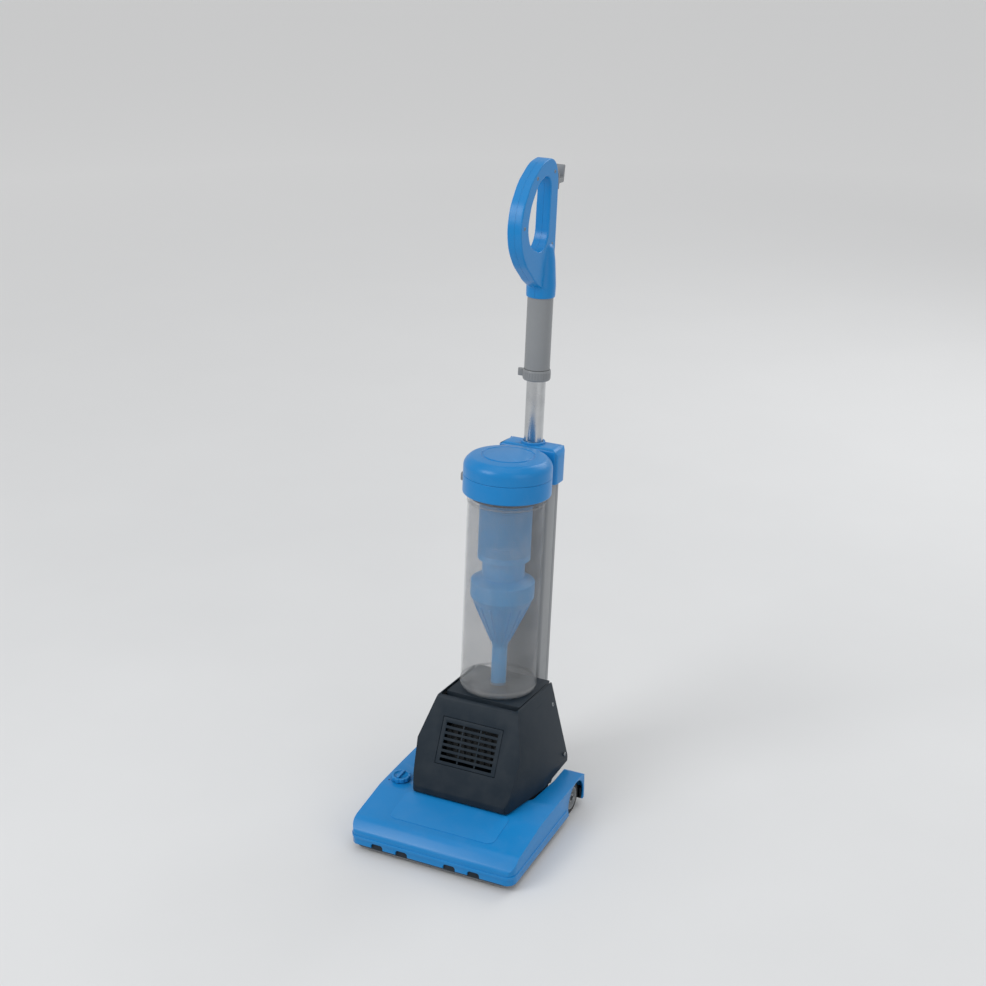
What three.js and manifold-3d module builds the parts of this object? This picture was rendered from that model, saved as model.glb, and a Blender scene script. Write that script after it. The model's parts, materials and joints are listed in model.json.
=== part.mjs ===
// A bagless upright vacuum cleaner for commercial use, in millimetres, +Z up, front towards -Y.
// The floor head carries the wheels, the brush roll and its belt. The upright turns on two trunnions
// whose axis is also the motor shaft's, so the belt keeps its length as the machine reclines.
import * as THREE from 'three';
import { mergeVertices } from 'three/addons/utils/BufferGeometryUtils.js';
import Module from 'manifold-3d';

const wasm = await Module();
wasm.setup();

// Driving dimensions. Head sizes are measured from the recline axis along Y and from the floor along Z.
const gap = 0.3; // between faces that rest on each other
const wall = 3; // moulded shells
const headHalfWidth = 150;
const headFront = -250;
const headRear = 58;
const deckHeight = 65;
const soleHeight = 6.7; // underside of the sole plate, with the rollers at their lowest step
const soleThickness = 2;
const chassisFloor = soleHeight + soleThickness + gap;
const pivotHeight = 64;
const parkedLean = THREE.MathUtils.degToRad(5.5);
const trough = { front: -78, frontHalf: 106, rearHalf: 114.5 }; // opening of the head round the motor drum

const drumRadius = 50;
const drumHalfLength = 82;
const hubRadius = 19;
const bracketNear = 84;
const bracketFar = 94;

const brush = { y: -206, z: 28, radius: 20, core: 12, halfLength: 118, pulley: 12 };
const belt = { near: 97, far: 105, thickness: 1.6, motorPulley: 6 };
const wheel = { y: 12, z: 28, radius: 28, near: 122, far: 142, hub: 20, axle: 4 };
const wheelRib = { near: 115.2, far: 119.2 }; // chassis wall that holds the stub axle
const roller = { y: -128, radius: 11, near: 40, far: 64, axle: 2.5 };
const carriagePivot = { y: -80, z: 21 };
const knob = { x: -124, y: -112, radius: 17, cam: 10, shaft: 5 };
const pedal = { near: 120.5, far: 146, y: 50, z: 46, rod: 3 };

// Upright sizes: y behind the recline axis, z along the body.
const binRadius = 65;
const binFloor = 152.6;
const binTop = 500;
const capRadius = 74;
const capSplit = 532;
const capTop = 566;
const spineFront = 66.5;
const spineSplit = 100;
const spineBack = 122;
const spineHalfWidth = 46;
const rearCap = { halfWidth: 55, front: 75, back: 125, top: 562 };
const duct = { x: -26, radius: 11.5, low: 112, high: 445 }; // dirty air, up the left of the spine
const airSlot = { near: 22, far: 39.5, low: 511, high: 525 }; // clean air leaves the cap here
const tubeY = 99;
const tubeRadius = 16;
const tubeTop = 790;
const sleeveRadius = 21.5;
const sleeveFoot = 690;
const neckRadius = 18.7; // of the sleeve, inside the collar
const collarFoot = 672;
const handleFoot = 812;
const handleTop = 1042;
const gripHalfThickness = 12.5;
const gripBack = 121;
const switchHeight = 866;
const glandHeight = 829;
const hookHeight = 1000;

const finishes = {
  blue: new THREE.MeshStandardMaterial({ color: 0x1480c0, roughness: 0.35, metalness: 0 }),
  dark: new THREE.MeshStandardMaterial({ color: 0x1f2b34, roughness: 0.5, metalness: 0 }),
  grey: new THREE.MeshStandardMaterial({ color: 0x8a8c8e, roughness: 0.45, metalness: 0 }),
  clear: new THREE.MeshStandardMaterial({ color: 0xb8c0c6, roughness: 0.1, transparent: true, opacity: 0.35 }),
  metal: new THREE.MeshStandardMaterial({ color: 0xb4b6b8, roughness: 0.3, metalness: 1 }),
  steel: new THREE.MeshStandardMaterial({ color: 0x8f9396, roughness: 0.35, metalness: 1 }),
  rubber: new THREE.MeshStandardMaterial({ color: 0x17191b, roughness: 0.85, metalness: 0 }),
  foam: new THREE.MeshStandardMaterial({ color: 0x3a3d40, roughness: 1, metalness: 0 }),
  bristle: new THREE.MeshStandardMaterial({ color: 0x2a2c2e, roughness: 0.8, metalness: 0 }),
};

// Solids from three.js geometry, and back.

function solid(geometry) {
  const bare = geometry.index ? geometry.toNonIndexed() : geometry.clone();
  bare.deleteAttribute('normal');
  bare.deleteAttribute('uv');
  const merged = mergeVertices(bare, 1e-3);
  const mesh = { numProp: 3, vertProperties: merged.attributes.position.array, triVerts: merged.index.array };
  return new wasm.Manifold(new wasm.Mesh(mesh));
}

function geometryOf(body) {
  const mesh = body.getMesh();
  const geometry = new THREE.BufferGeometry();
  geometry.setAttribute('position', new THREE.BufferAttribute(mesh.vertProperties, 3));
  geometry.setIndex(new THREE.BufferAttribute(mesh.triVerts, 1));
  geometry.computeVertexNormals();
  return geometry;
}

function piece(parent, name, body, material) {
  const mesh = new THREE.Mesh(geometryOf(body), material);
  mesh.name = name;
  parent.add(mesh);
  return mesh;
}

function joined(...bodies) {
  return bodies.reduce((whole, body) => whole.add(body));
}

function cut(body, ...tools) {
  return tools.reduce((rest, tool) => rest.subtract(tool), body);
}

// Simple solids, each given by where it starts and ends.

function box(x0, x1, y0, y1, z0, z1) {
  const geometry = new THREE.BoxGeometry(x1 - x0, y1 - y0, z1 - z0);
  return solid(geometry.translate((x0 + x1) / 2, (y0 + y1) / 2, (z0 + z1) / 2));
}

function rodX(radius, x0, x1, y, z, sides = 20) {
  const geometry = new THREE.CylinderGeometry(radius, radius, x1 - x0, sides).rotateZ(-Math.PI / 2);
  return solid(geometry.translate((x0 + x1) / 2, y, z));
}

function rodY(radius, y0, y1, x, z, sides = 20) {
  const geometry = new THREE.CylinderGeometry(radius, radius, y1 - y0, sides);
  return solid(geometry.translate(x, (y0 + y1) / 2, z));
}

function rodZ(radius, z0, z1, x = 0, y = 0, sides = 20) {
  const geometry = new THREE.CylinderGeometry(radius, radius, z1 - z0, sides).rotateX(Math.PI / 2);
  return solid(geometry.translate(x, y, (z0 + z1) / 2));
}

function tubeX(outer, inner, x0, x1, y, z, sides = 20) {
  return cut(rodX(outer, x0, x1, y, z, sides), rodX(inner, x0 - 1, x1 + 1, y, z, sides));
}

function tubeZ(outer, inner, z0, z1, x = 0, y = 0, sides = 20) {
  return cut(rodZ(outer, z0, z1, x, y, sides), rodZ(inner, z0 - 1, z1 + 1, x, y, sides));
}

// A closed shape with each corner rounded by its own radius, or all by one.
function outline(points, radius = 0) {
  const shape = new THREE.Shape();
  const corner = (i) => new THREE.Vector2(...points[(i + points.length) % points.length]);
  points.forEach((point, i) => {
    const here = corner(i);
    const reach = Array.isArray(radius) ? radius[i] : radius;
    const towards = (other) => other.clone().sub(here).setLength(Math.min(reach, other.distanceTo(here) / 2));
    const start = here.clone().add(towards(corner(i - 1)));
    const end = here.clone().add(towards(corner(i + 1)));
    if (i === 0) shape.moveTo(start.x, start.y);
    else shape.lineTo(start.x, start.y);
    if (reach > 0) shape.quadraticCurveTo(here.x, here.y, end.x, end.y);
  });
  shape.closePath();
  return shape;
}

// The same points moved inwards by a distance, for a counter-clockwise outline.
function inset(points, distance) {
  return points.map((point, i) => {
    const here = new THREE.Vector2(...point);
    const before = new THREE.Vector2(...points[(i + points.length - 1) % points.length]);
    const after = new THREE.Vector2(...points[(i + 1) % points.length]);
    const inward = (a, b) => new THREE.Vector2(a.y - b.y, b.x - a.x).normalize();
    const first = inward(before, here);
    const second = inward(here, after);
    const miter = first.clone().add(second);
    miter.multiplyScalar(distance / (1 + first.dot(second)));
    return [here.x + miter.x, here.y + miter.y];
  });
}

function extruded(shape, depth, curveSegments = 4) {
  return new THREE.ExtrudeGeometry(shape, { depth, bevelEnabled: false, curveSegments });
}

// A (y, z) profile between two x.
function alongX(shape, x0, x1, curveSegments) {
  const turn = new THREE.Matrix4().set(0, 0, 1, x0, 1, 0, 0, 0, 0, 1, 0, 0, 0, 0, 0, 1);
  return solid(extruded(shape, x1 - x0, curveSegments).applyMatrix4(turn));
}

// An (x, z) profile between two y.
function alongY(shape, y0, y1, curveSegments) {
  return solid(extruded(shape, y1 - y0, curveSegments).rotateX(Math.PI / 2).translate(0, y1, 0));
}

// An (x, y) outline between two z.
function alongZ(shape, z0, z1, curveSegments) {
  return solid(extruded(shape, z1 - z0, curveSegments).translate(0, 0, z0));
}

// A profile of [radius, z] points turned about the Z axis through (x, y). The profile closes on itself.
function turned(profile, sides = 24, x = 0, y = 0) {
  const points = profile.map(([radius, z]) => new THREE.Vector2(radius, z));
  if (profile[0][0] > 0) points.push(points[0].clone());
  return solid(new THREE.LatheGeometry(points, sides).rotateX(Math.PI / 2).translate(x, y, 0));
}

// The same profile about an axis along X, with the profile's height as x.
function turnedX(profile, sides, y, z) {
  const points = profile.map(([radius, x]) => new THREE.Vector2(radius, x));
  if (profile[0][0] > 0) points.push(points[0].clone());
  return solid(new THREE.LatheGeometry(points, sides).rotateZ(-Math.PI / 2).translate(0, y, z));
}

function pipe(path, outer, inner, steps, sides) {
  const ring = new THREE.Shape().absarc(0, 0, outer, 0, 2 * Math.PI);
  if (inner > 0) ring.holes.push(new THREE.Path().absarc(0, 0, inner, 0, 2 * Math.PI, true));
  const settings = { extrudePath: path, steps, curveSegments: sides, bevelEnabled: false };
  return solid(new THREE.ExtrudeGeometry(ring, settings));
}

function curveThrough(points) {
  return new THREE.CatmullRomCurve3(points.map((point) => new THREE.Vector3(...point)));
}

// Floor head.

const chassisPlan = [
  [-headHalfWidth + 5, headFront + 5], [headHalfWidth - 5, headFront + 5],
  [headHalfWidth - 5, headRear - 3], [-headHalfWidth + 5, headRear - 3],
];

// A box on the right, or its mirror image on the left.
function sideBox(side, near, far, ...rest) {
  return side > 0 ? box(near, far, ...rest) : box(-far, -near, ...rest);
}

function chassis() {
  const top = chassisFloor + 20;
  const tray = cut(
    alongZ(outline(chassisPlan, [18, 18, 8, 8]), chassisFloor, top, 3),
    alongZ(outline(inset(chassisPlan, wall), [15, 15, 5, 5]), chassisFloor + wall, top + 5, 3),
  );
  const chamberWall = box(-122, 94, brush.y + 29, brush.y + 31.5, chassisFloor + 1, 44);
  const rib = outline([
    [-60, chassisFloor], [headRear - 3.5, chassisFloor], [headRear - 3.5, 42], [42, 52], [-60, 52],
  ]);
  const ribs = [wheelRib.near, -wheelRib.far].map((x) => alongX(rib, x, x + wheelRib.far - wheelRib.near));
  const wells = [1, -1].map((side) => sideBox(side, wheelRib.far, headHalfWidth + 5,
    wheel.y - wheel.radius - 5, wheel.y + wheel.radius + 5, 0, 60));
  const bosses = [1, -1].map((side) => sideBox(side, 68, 75,
    carriagePivot.y - 6, carriagePivot.y + 10, chassisFloor, carriagePivot.z + 6));
  const floor = cut(
    joined(tray, chamberWall, ...ribs),
    box(-122, 122, brush.y - 28, brush.y + 28, 0, 20), // brush window
    box(-109, -79, brush.y + 25, brush.y + 35, 26, 40), // air leaves the brush chamber
    box(-100, 100, roller.y - 28, carriagePivot.y + 6, 0, 20), // front roller slot
    box(-trough.rearHalf, trough.rearHalf, 24, headRear + 5, 0, 60), // open behind the drum
    sideBox(1, bracketFar + 2, trough.rearHalf, -5, 30, 0, 20), // the hood swings down here
    sideBox(-1, bracketFar + 2, trough.rearHalf, -5, 30, 0, 20),
    rodX(wheel.axle + gap, -130, 130, wheel.y, wheel.z, 12),
    rodX(pedal.rod + gap, -130, -110, pedal.y, pedal.z, 12),
    ...wells,
  );
  return cut(joined(floor, ...bosses), rodX(3 + gap, -80, 80, carriagePivot.y, carriagePivot.z, 10));
}

function solePlate() {
  const plan = outline([[-140, -244], [140, -244], [140, -164], [-140, -164]], [14, 14, 4, 4]);
  const top = soleHeight + soleThickness;
  const bars = [-62, 0, 62].map((x) => box(x - 3, x + 3, brush.y - 30, brush.y + 30, soleHeight, soleHeight + 1));
  const window = box(-120, 120, brush.y - 27, brush.y + 27, 0, 20);
  return joined(cut(alongZ(plan, soleHeight, top, 3), window), ...bars);
}

const deckProfile = [
  [headFront, 13], [headFront + 20, 11], [headRear, 11], [headRear, 50], [42, 63], [-60, deckHeight],
  [-140, deckHeight], [-226, 53], [headFront + 3, 37],
];
const coverPlan = [
  [-headHalfWidth, headFront], [headHalfWidth, headFront], [headHalfWidth, headRear], [-headHalfWidth, headRear],
];

// Outer form of the cover, or its inside when less is the wall.
function coverForm(less) {
  const sides = outline(inset(deckProfile, less), [3, 0, 0, 8, 12, 0, 20, 16, 10]);
  const plan = outline(inset(coverPlan, less), [20 - less, 20 - less, 12, 12]);
  return alongX(sides, -headHalfWidth, headHalfWidth, 3).intersect(alongZ(plan, 0, 120, 3));
}

function headCover() {
  const notches = [-98, -52, 36, 80].map((x) => box(x - 11, x + 11, headFront - 5, headFront + 12, 0, 22));
  const opening = outline([
    [-trough.frontHalf, trough.front], [trough.frontHalf, trough.front], [trough.rearHalf, -2],
    [trough.rearHalf, headRear + 5], [-trough.rearHalf, headRear + 5], [-trough.rearHalf, -2],
  ]);
  const arches = [1, -1].map((side) => {
    const [x0, x1] = side > 0 ? [wheelRib.far, headHalfWidth + 5] : [-headHalfWidth - 5, -wheelRib.far];
    return rodX(wheel.radius + 5, x0, x1, wheel.y, wheel.z, 24);
  });
  return cut(
    coverForm(0),
    coverForm(wall),
    box(-headHalfWidth + 4, headHalfWidth - 4, headFront + 4, headRear - 2, 0, chassisFloor + 21),
    box(-headHalfWidth - 5, headHalfWidth + 5, headFront - 5, headRear + 5, 0, 12),
    alongZ(opening, 0, 120),
    sideBox(-1, pedal.near - 1, pedal.far + 0.8, 41, headRear + 5, 30, 70),
    rodZ(knob.shaft + 1, 50, 80, knob.x, knob.y, 16),
    ...arches,
    ...notches,
  );
}

function headDuct() {
  const run = (less) => joined(
    box(-112 + less, -76 - less, brush.y + 32 - 2 * less, -52 - less, 23.5 + less, 43 - less),
    box(-107.6 + less, -96.2 - less, -60 + less, -30 + less, 23.5 + less, 56 - less),
    box(-106.8 + less, -96.2 - less, -34 + less, 14 - less, 34 + less, 79 - less),
  );
  return cut(run(0), run(2), rodX(13, -100, -90, 0, pivotHeight, 16));
}

function pivotBracket(side) {
  const [x0, x1] = side > 0 ? [bracketNear, bracketFar] : [-bracketFar, -bracketNear];
  const block = box(x0, x1, -21, 21, chassisFloor + wall + gap, pivotHeight);
  const eye = rodX(23.5, x0, x1, 0, pivotHeight, 24);
  return cut(joined(block, eye), rodX(hubRadius + gap, x0 - 1, x1 + 1, 0, pivotHeight, 24));
}

function stubAxle(side) {
  const [x0, x1] = side > 0 ? [wheelRib.near, wheel.far + 3] : [-wheel.far - 3, -wheelRib.near];
  return rodX(wheel.axle, x0, x1, wheel.y, wheel.z, 12);
}

function tyre(side) {
  const [x0, x1] = side > 0 ? [wheel.near, wheel.far] : [-wheel.far, -wheel.near];
  const tread = [
    [wheel.hub + gap, x0], [wheel.radius - 3, x0], [wheel.radius, x0 + 4], [wheel.radius, x1 - 4],
    [wheel.radius - 3, x1], [wheel.hub + gap, x1],
  ];
  return turnedX(tread, 24, wheel.y, wheel.z);
}

function wheelHub(side) {
  const [x0, x1] = side > 0 ? [wheel.near, wheel.far] : [-wheel.far, -wheel.near];
  const disc = [
    [wheel.axle + gap, x0], [wheel.hub, x0], [wheel.hub, x1], [wheel.hub - 4, x1], [wheel.hub - 6, x1 - 4],
    [8, x1 - 4], [8, x1], [wheel.axle + gap, x1],
  ];
  const mirrored = disc.map(([radius, x]) => [radius, x0 + x1 - x]).reverse();
  return turnedX(side > 0 ? disc : mirrored, 18, wheel.y, wheel.z);
}

// A core with two bristle strips that wind round it, and a belt pulley at its right end.
function brushRoll() {
  const halfAngle = 0.16; // of a strip at its root, radians
  const bareSteps = 4;
  const points = [];
  [0, Math.PI].forEach((middle) => {
    points.push([brush.core, middle - halfAngle], [brush.radius, middle - halfAngle / 2]);
    points.push([brush.radius, middle + halfAngle / 2], [brush.core, middle + halfAngle]);
    for (let k = 1; k < bareSteps; k += 1) {
      points.push([brush.core, middle + halfAngle + (Math.PI - 2 * halfAngle) * (k / bareSteps)]);
    }
  });
  const corners = points.map(([radius, angle]) => [radius * Math.cos(angle), radius * Math.sin(angle)]);
  const length = brush.halfLength + belt.near - 5;
  const geometry = new THREE.ExtrudeGeometry(outline(corners), { depth: length, steps: 9, bevelEnabled: false });
  const position = geometry.attributes.position;
  for (let i = 0; i < position.count; i += 1) {
    const spot = new THREE.Vector3().fromBufferAttribute(position, i);
    spot.applyAxisAngle(new THREE.Vector3(0, 0, 1), (spot.z / length) * Math.PI * 1.5);
    position.setXYZ(i, spot.x, spot.y, spot.z);
  }
  geometry.rotateY(Math.PI / 2).translate(-brush.halfLength, brush.y, brush.z);
  const ends = turnedX([
    [0, -131], [4, -131], [4, -124], [brush.core, -124], [brush.core, -brush.halfLength + 1],
    [brush.core - 2, -brush.halfLength + 2], [brush.core - 2, belt.near - 6], [brush.core + 2, belt.near - 5],
    [brush.core + 2, belt.near - 1], [brush.pulley, belt.near - 1], [brush.pulley, belt.far + 1],
    [brush.core + 2, belt.far + 1], [brush.core + 2, belt.far + 5], [4, belt.far + 6], [4, 131], [0, 131],
  ], 12, brush.y, brush.z);
  return joined(solid(geometry), ends);
}

function brushBearing(side) {
  const [x0, x1] = side > 0 ? [125, 137] : [-137, -125];
  return cut(
    box(x0, x1, brush.y - 12, brush.y + 12, chassisFloor + wall + gap, 40),
    rodX(4.3, x0 - 1, x1 + 1, brush.y, brush.z, 16),
  );
}

// The loop round two pulleys of radius a at the recline axis and b at the brush roll.
function beltLoop(a, b) {
  const reach = new THREE.Vector2(-brush.y, pivotHeight - brush.z);
  const tilt = Math.atan2(reach.y, reach.x);
  const spread = Math.acos((a - b) / reach.length());
  const shape = new THREE.Shape();
  shape.absarc(0, pivotHeight, a, tilt + Math.PI + spread, tilt + Math.PI - spread + 2 * Math.PI);
  shape.absarc(brush.y, brush.z, b, tilt + Math.PI - spread, tilt + Math.PI + spread);
  shape.closePath();
  return shape;
}

function driveBelt() {
  const inner = [belt.motorPulley + gap, brush.pulley + gap];
  const loop = (more) => beltLoop(inner[0] + more, inner[1] + more);
  return cut(
    alongX(loop(belt.thickness), belt.near, belt.far, 6),
    alongX(loop(0), belt.near - 1, belt.far + 1, 6),
  );
}

function heightCarriage() {
  const arms = [-1, 1].flatMap((side) => [roller.near - 3, roller.far + 0.5].map((near) => (
    sideBox(side, near, near + 2.5, roller.y - 6, carriagePivot.y - 6, 6.5, 20)
  )));
  const plate = box(-67, 67, -116, -78, 16, 19);
  const reach = box(knob.x + 2, -60, -116, -108, 16, 18.6);
  const barrel = rodX(6, -62, 62, carriagePivot.y, carriagePivot.z, 12);
  return cut(
    joined(plate, reach, barrel, ...arms),
    rodX(3 + gap, -80, 80, carriagePivot.y, carriagePivot.z, 10),
    rodX(roller.axle + gap, -80, 80, roller.y, roller.radius, 10),
  );
}

function frontRoller(side) {
  const [x0, x1] = side > 0 ? [roller.near, roller.far] : [-roller.far, -roller.near];
  return tubeX(roller.radius, roller.axle + gap, x0, x1, roller.y, roller.radius, 20);
}

// The slanted face under the knob's disc bears on the carriage's arm.
function heightKnob() {
  const camSlope = THREE.MathUtils.degToRad(20);
  const disc = rodZ(knob.cam, 10, 32, knob.x, knob.y, 18);
  const normal = new THREE.Vector3(Math.sin(camSlope), 0, Math.cos(camSlope));
  const lowest = new THREE.Vector3(knob.x + knob.cam, knob.y, 19.2);
  const cam = disc.trimByPlane(normal.toArray(), normal.dot(lowest));
  const shaft = rodZ(knob.shaft, 24, 70, knob.x, knob.y, 16);
  const grips = Array.from({ length: 10 }, (_, i) => {
    const angle = (i / 10) * 2 * Math.PI;
    const [x, y] = [knob.x + knob.radius * Math.cos(angle), knob.y + knob.radius * Math.sin(angle)];
    return rodZ(2, 60, 90, x, y, 6);
  });
  const dial = cut(rodZ(knob.radius, deckHeight + 1, deckHeight + 9, knob.x, knob.y, 20), ...grips);
  const pointer = box(knob.x - 2, knob.x + 2, knob.y - 13, knob.y + 13, deckHeight + 8, deckHeight + 11.5);
  return joined(cam, shaft, dial, pointer);
}

function releasePedal() {
  const profile = outline([
    [43, 50], [43, 44], [pedal.y, 41], [62, 42], [86, 38], [88, 42], [64, 49], [pedal.y, 51.5],
  ], 1.5);
  return cut(
    alongX(profile, -pedal.far, -pedal.near, 2),
    rodX(pedal.rod + gap, -150, -110, pedal.y, pedal.z, 12),
    box(-137, -129, 30, pedal.y + 7, 30, 60), // room for the spring
  );
}

function pedalSpring() {
  const turns = 4;
  const steps = 28;
  const points = Array.from({ length: steps + 1 }, (_, i) => {
    const angle = (i / steps) * turns * 2 * Math.PI;
    return [-136 + (i / steps) * 6.2, pedal.y + 4.6 * Math.cos(angle), pedal.z + 4.6 * Math.sin(angle)];
  });
  return pipe(curveThrough(points), 0.7, 0, steps, 2);
}

// Upright, modelled along its own axis from the recline axis up.

const chimneySide = [[52, 12], [62, 28], [66, 44], [66, 150], [-60, 150], [-60, 16]];

function motorHousing() {
  const drum = rodX(drumRadius, -drumHalfLength, drumHalfLength, 0, 0, 28);
  const chimney = alongX(outline(chimneySide), -68, 68);
  const inside = alongX(outline(inset(chimneySide, wall)), -65, 65);
  return cut(
    joined(drum, chimney),
    inside,
    rodX(drumRadius - 4, -drumHalfLength - 1, drumHalfLength + 1, 0, 0, 28),
    box(22, 39, 60, 70, 102, 122), // clean air comes in from the spine
    rodY(duct.radius + 2.5, 58, 70, duct.x, duct.low, 16), // dirty air leaves for the spine
    box(-50, 50, -70, -50, 40, 100), // exhaust to the filter
  );
}

// The left trunnion is bored for the dirty air, the right one for the motor shaft.
function trunnion(side) {
  const bore = side > 0 ? 4.6 : 13;
  const profile = [
    [bore, drumHalfLength - 6], [drumRadius - 4.4, drumHalfLength - 6], [drumRadius - 4.4, drumHalfLength],
    [hubRadius, drumHalfLength], [hubRadius, bracketFar + 1], [bore, bracketFar + 1],
  ];
  const mirrored = profile.map(([radius, x]) => [radius, -x]).reverse();
  return turnedX(side > 0 ? profile : mirrored, 24, 0, 0);
}

const hoodSlope = { foot: [-140, 2], head: [-80, 152] };

// Outer form of the hood, or its inside when less is the wall. Its foot lies level with the deck.
function hoodForm(less) {
  const side = inset([[-140, -10], [60, 9.2], [60, 152], hoodSlope.head, hoodSlope.foot], less);
  const front = inset([[-112, -30], [112, -30], [112, 20], [74, 152], [-74, 152], [-112, 20]], less);
  const plan = inset([[-88, -142], [88, -142], [112, -40], [112, 66], [-112, 66], [-112, -40]], less);
  const rounding = 16 - less;
  return alongX(outline(side, [3, 3, 3, 14, 10]), -120, 120, 3)
    .intersect(alongY(outline(front, [0, 0, 20, 6, 6, 20]), -160, 80, 3))
    .intersect(alongZ(outline(plan, [rounding, rounding, 20, 4, 4, 20]), -40, 200, 3));
}

function slopePanel(halfWidth, low, high, thickness, lift) {
  const [foot, head] = [hoodSlope.foot, hoodSlope.head].map((point) => new THREE.Vector2(...point));
  const length = head.distanceTo(foot);
  const angle = Math.atan2(head.y - foot.y, head.x - foot.x);
  const geometry = new THREE.BoxGeometry(2 * halfWidth, length * (high - low), thickness);
  geometry.rotateX(angle);
  const middle = foot.clone().lerp(head, (low + high) / 2);
  const normal = new THREE.Vector2(-Math.sin(angle), Math.cos(angle));
  middle.addScaledVector(normal, lift);
  return solid(geometry.translate(0, middle.x, middle.y));
}

function motorHood() {
  const foot = alongX(outline([[-137, -30], [80, -30], [80, 18], [-137, -2.5]]), -109, 109);
  return cut(
    hoodForm(0),
    hoodForm(wall),
    foot.intersect(hoodForm(wall).translate(0, 0, -8)),
    box(-71, 71, -77, 80, 148, 160), // open top round the bin seat
    box(-73, 73, 50, 80, 0, 200), // open back round the spine
    slopePanel(56, 0.28, 0.78, 12, 0),
  );
}

function exhaustGrille() {
  const frame = slopePanel(55.5, 0.284, 0.776, 2.6, -1.5);
  const slots = Array.from({ length: 6 }, (_, i) => slopePanel(48, 0.32 + i * 0.072, 0.348 + i * 0.072, 9, 0));
  return cut(frame, ...slots);
}

function exhaustFilter() {
  const pleats = Array.from({ length: 7 }, (_, i) => box(-41 + i * 12.5, -36 + i * 12.5, -95, -88, 40, 96));
  return cut(box(-49, 49, -92, -61, 40, 96), ...pleats);
}

function motorCan() {
  return turnedX([
    [4.6, -12], [40, -12], [40, 52], [35, 60], [14, 66], [4.6, 66],
  ], 18, 0, 0);
}

function fanHousing() {
  return turnedX([
    [4.6, -12.4], [41.5, -12.4], [41.5, -38], [18, -38], [18, -36], [39.5, -36], [39.5, -14.4], [4.6, -14.4],
  ].reverse(), 18, 0, 0);
}

function motorRotor() {
  return turnedX([
    [0, -35], [4, -35], [4, belt.near], [belt.motorPulley, belt.near], [belt.motorPulley, belt.far],
    [7.5, belt.far], [7.5, belt.far + 2], [0, belt.far + 2],
  ], 12, 0, 0);
}

function fanImpeller() {
  const plate = tubeX(36, 4.3, -19, -17, 0, 0, 16);
  const blades = Array.from({ length: 6 }, (_, i) => {
    const geometry = new THREE.BoxGeometry(12, 22, 1.4);
    geometry.rotateX(0.5).translate(-24, 0, 23).rotateX((i / 6) * 2 * Math.PI);
    return solid(geometry);
  });
  return joined(plate, tubeX(9, 4.3, -33, -17, 0, 0, 12), ...blades);
}

function motorMount(x0, x1, radius) {
  return tubeX(drumRadius - 4.4, radius + gap, x0, x1, 0, 0, 18);
}

function riserElbow() {
  const path = curveThrough([
    [-79, 0, 0], [-68, 0, 3], [-53, 8, 24], [-53, 16, 52], [-46, 28, 80], [-34, 43, 102],
    [duct.x, 55, duct.low - 1], [duct.x, 67, duct.low], [duct.x, 80, duct.low],
  ]);
  return pipe(path, duct.radius, duct.radius - 1.5, 11, 5);
}

function spinePlan(y0, y1, less) {
  const half = spineHalfWidth - less;
  return [[-half, y0], [half, y0], [half, y1], [-half, y1]];
}

// The room below the spine's slanted foot, which keeps it off the floor with the machine laid back.
function belowSpine(less) {
  const edge = inset([[40, -60], [200, -60], [200, 140], [124, 140], [66, 12], [40, 12]], -less);
  return alongX(outline(edge), -60, 60);
}

function spineHousing() {
  return cut(
    alongZ(outline(spinePlan(spineFront, spineSplit - gap, 0), [6, 6, 0, 0]), 10, binTop, 3),
    cut(alongZ(outline(spinePlan(spineFront + wall, 140, wall)), 10, binTop + 1), belowSpine(wall)),
    belowSpine(0),
    rodY(duct.radius + 1, 60, 80, duct.x, duct.low, 16), // dirty air in
    rodY(duct.radius + 2, 60, 80, duct.x, duct.high, 16), // and out to the bin
    box(21, 40, 60, 80, 103, 123), // clean air to the motor
  );
}

function spineCover() {
  const back = (less) => outline([
    [-spineHalfWidth + less, spineSplit - (less ? 5 : 0)], [spineHalfWidth - less, spineSplit - (less ? 5 : 0)],
    [spineHalfWidth - less, spineBack - 8 - less / 2], [30 - less, spineBack - less],
    [-30 + less, spineBack - less], [-spineHalfWidth + less, spineBack - 8 - less / 2],
  ], [0, 0, 8, 8, 8, 8]);
  return cut(
    alongZ(back(0), 60, binTop, 3),
    cut(alongZ(back(wall), 50, binTop + 1, 3), belowSpine(wall)),
    belowSpine(0),
  );
}

function dirtyDuct() {
  const path = curveThrough([
    [duct.x, 91, duct.low + 14], [duct.x, 91, 200], [duct.x, 91, 300], [duct.x, 91, 400],
    [duct.x, 89, duct.high - 16], [duct.x, 83, duct.high - 3], [duct.x, 75, duct.high], [duct.x, 66.8, duct.high],
  ]);
  return pipe(path, duct.radius, duct.radius - 1.5, 10, 5);
}

function cleanDuct() {
  const tube = (less) => box(20.4 + less, 41 - less, 79.5 + less, 106 - less, 126 + less, 534 - less);
  return cut(tube(0), tube(1.5), box(airSlot.near, airSlot.far, 70, 90, airSlot.low, airSlot.high),
    box(21.9, 39.5, 81, 100, 120, 140));
}

// The blue block behind the cap. It closes the spine and sockets the tube.
function rearCapForm(less) {
  const { halfWidth, front: near, back, top } = rearCap;
  const plan = inset([[-halfWidth, near], [halfWidth, near], [halfWidth, back], [-halfWidth, back]], less);
  const side = inset([[near, binTop + gap], [back, binTop + gap], [back, top], [near, top]], less);
  const front = inset([
    [-halfWidth, binTop], [halfWidth, binTop], [halfWidth, top], [-halfWidth, top],
  ], less);
  return alongZ(outline(plan, [8, 8, 22, 22]), binTop + gap, 600, 3)
    .intersect(alongX(outline(side, [0, 4, 16, 8]), -60, 60, 3))
    .intersect(alongY(outline(front, [0, 0, 16, 16]), 20, 140, 3));
}

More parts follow.
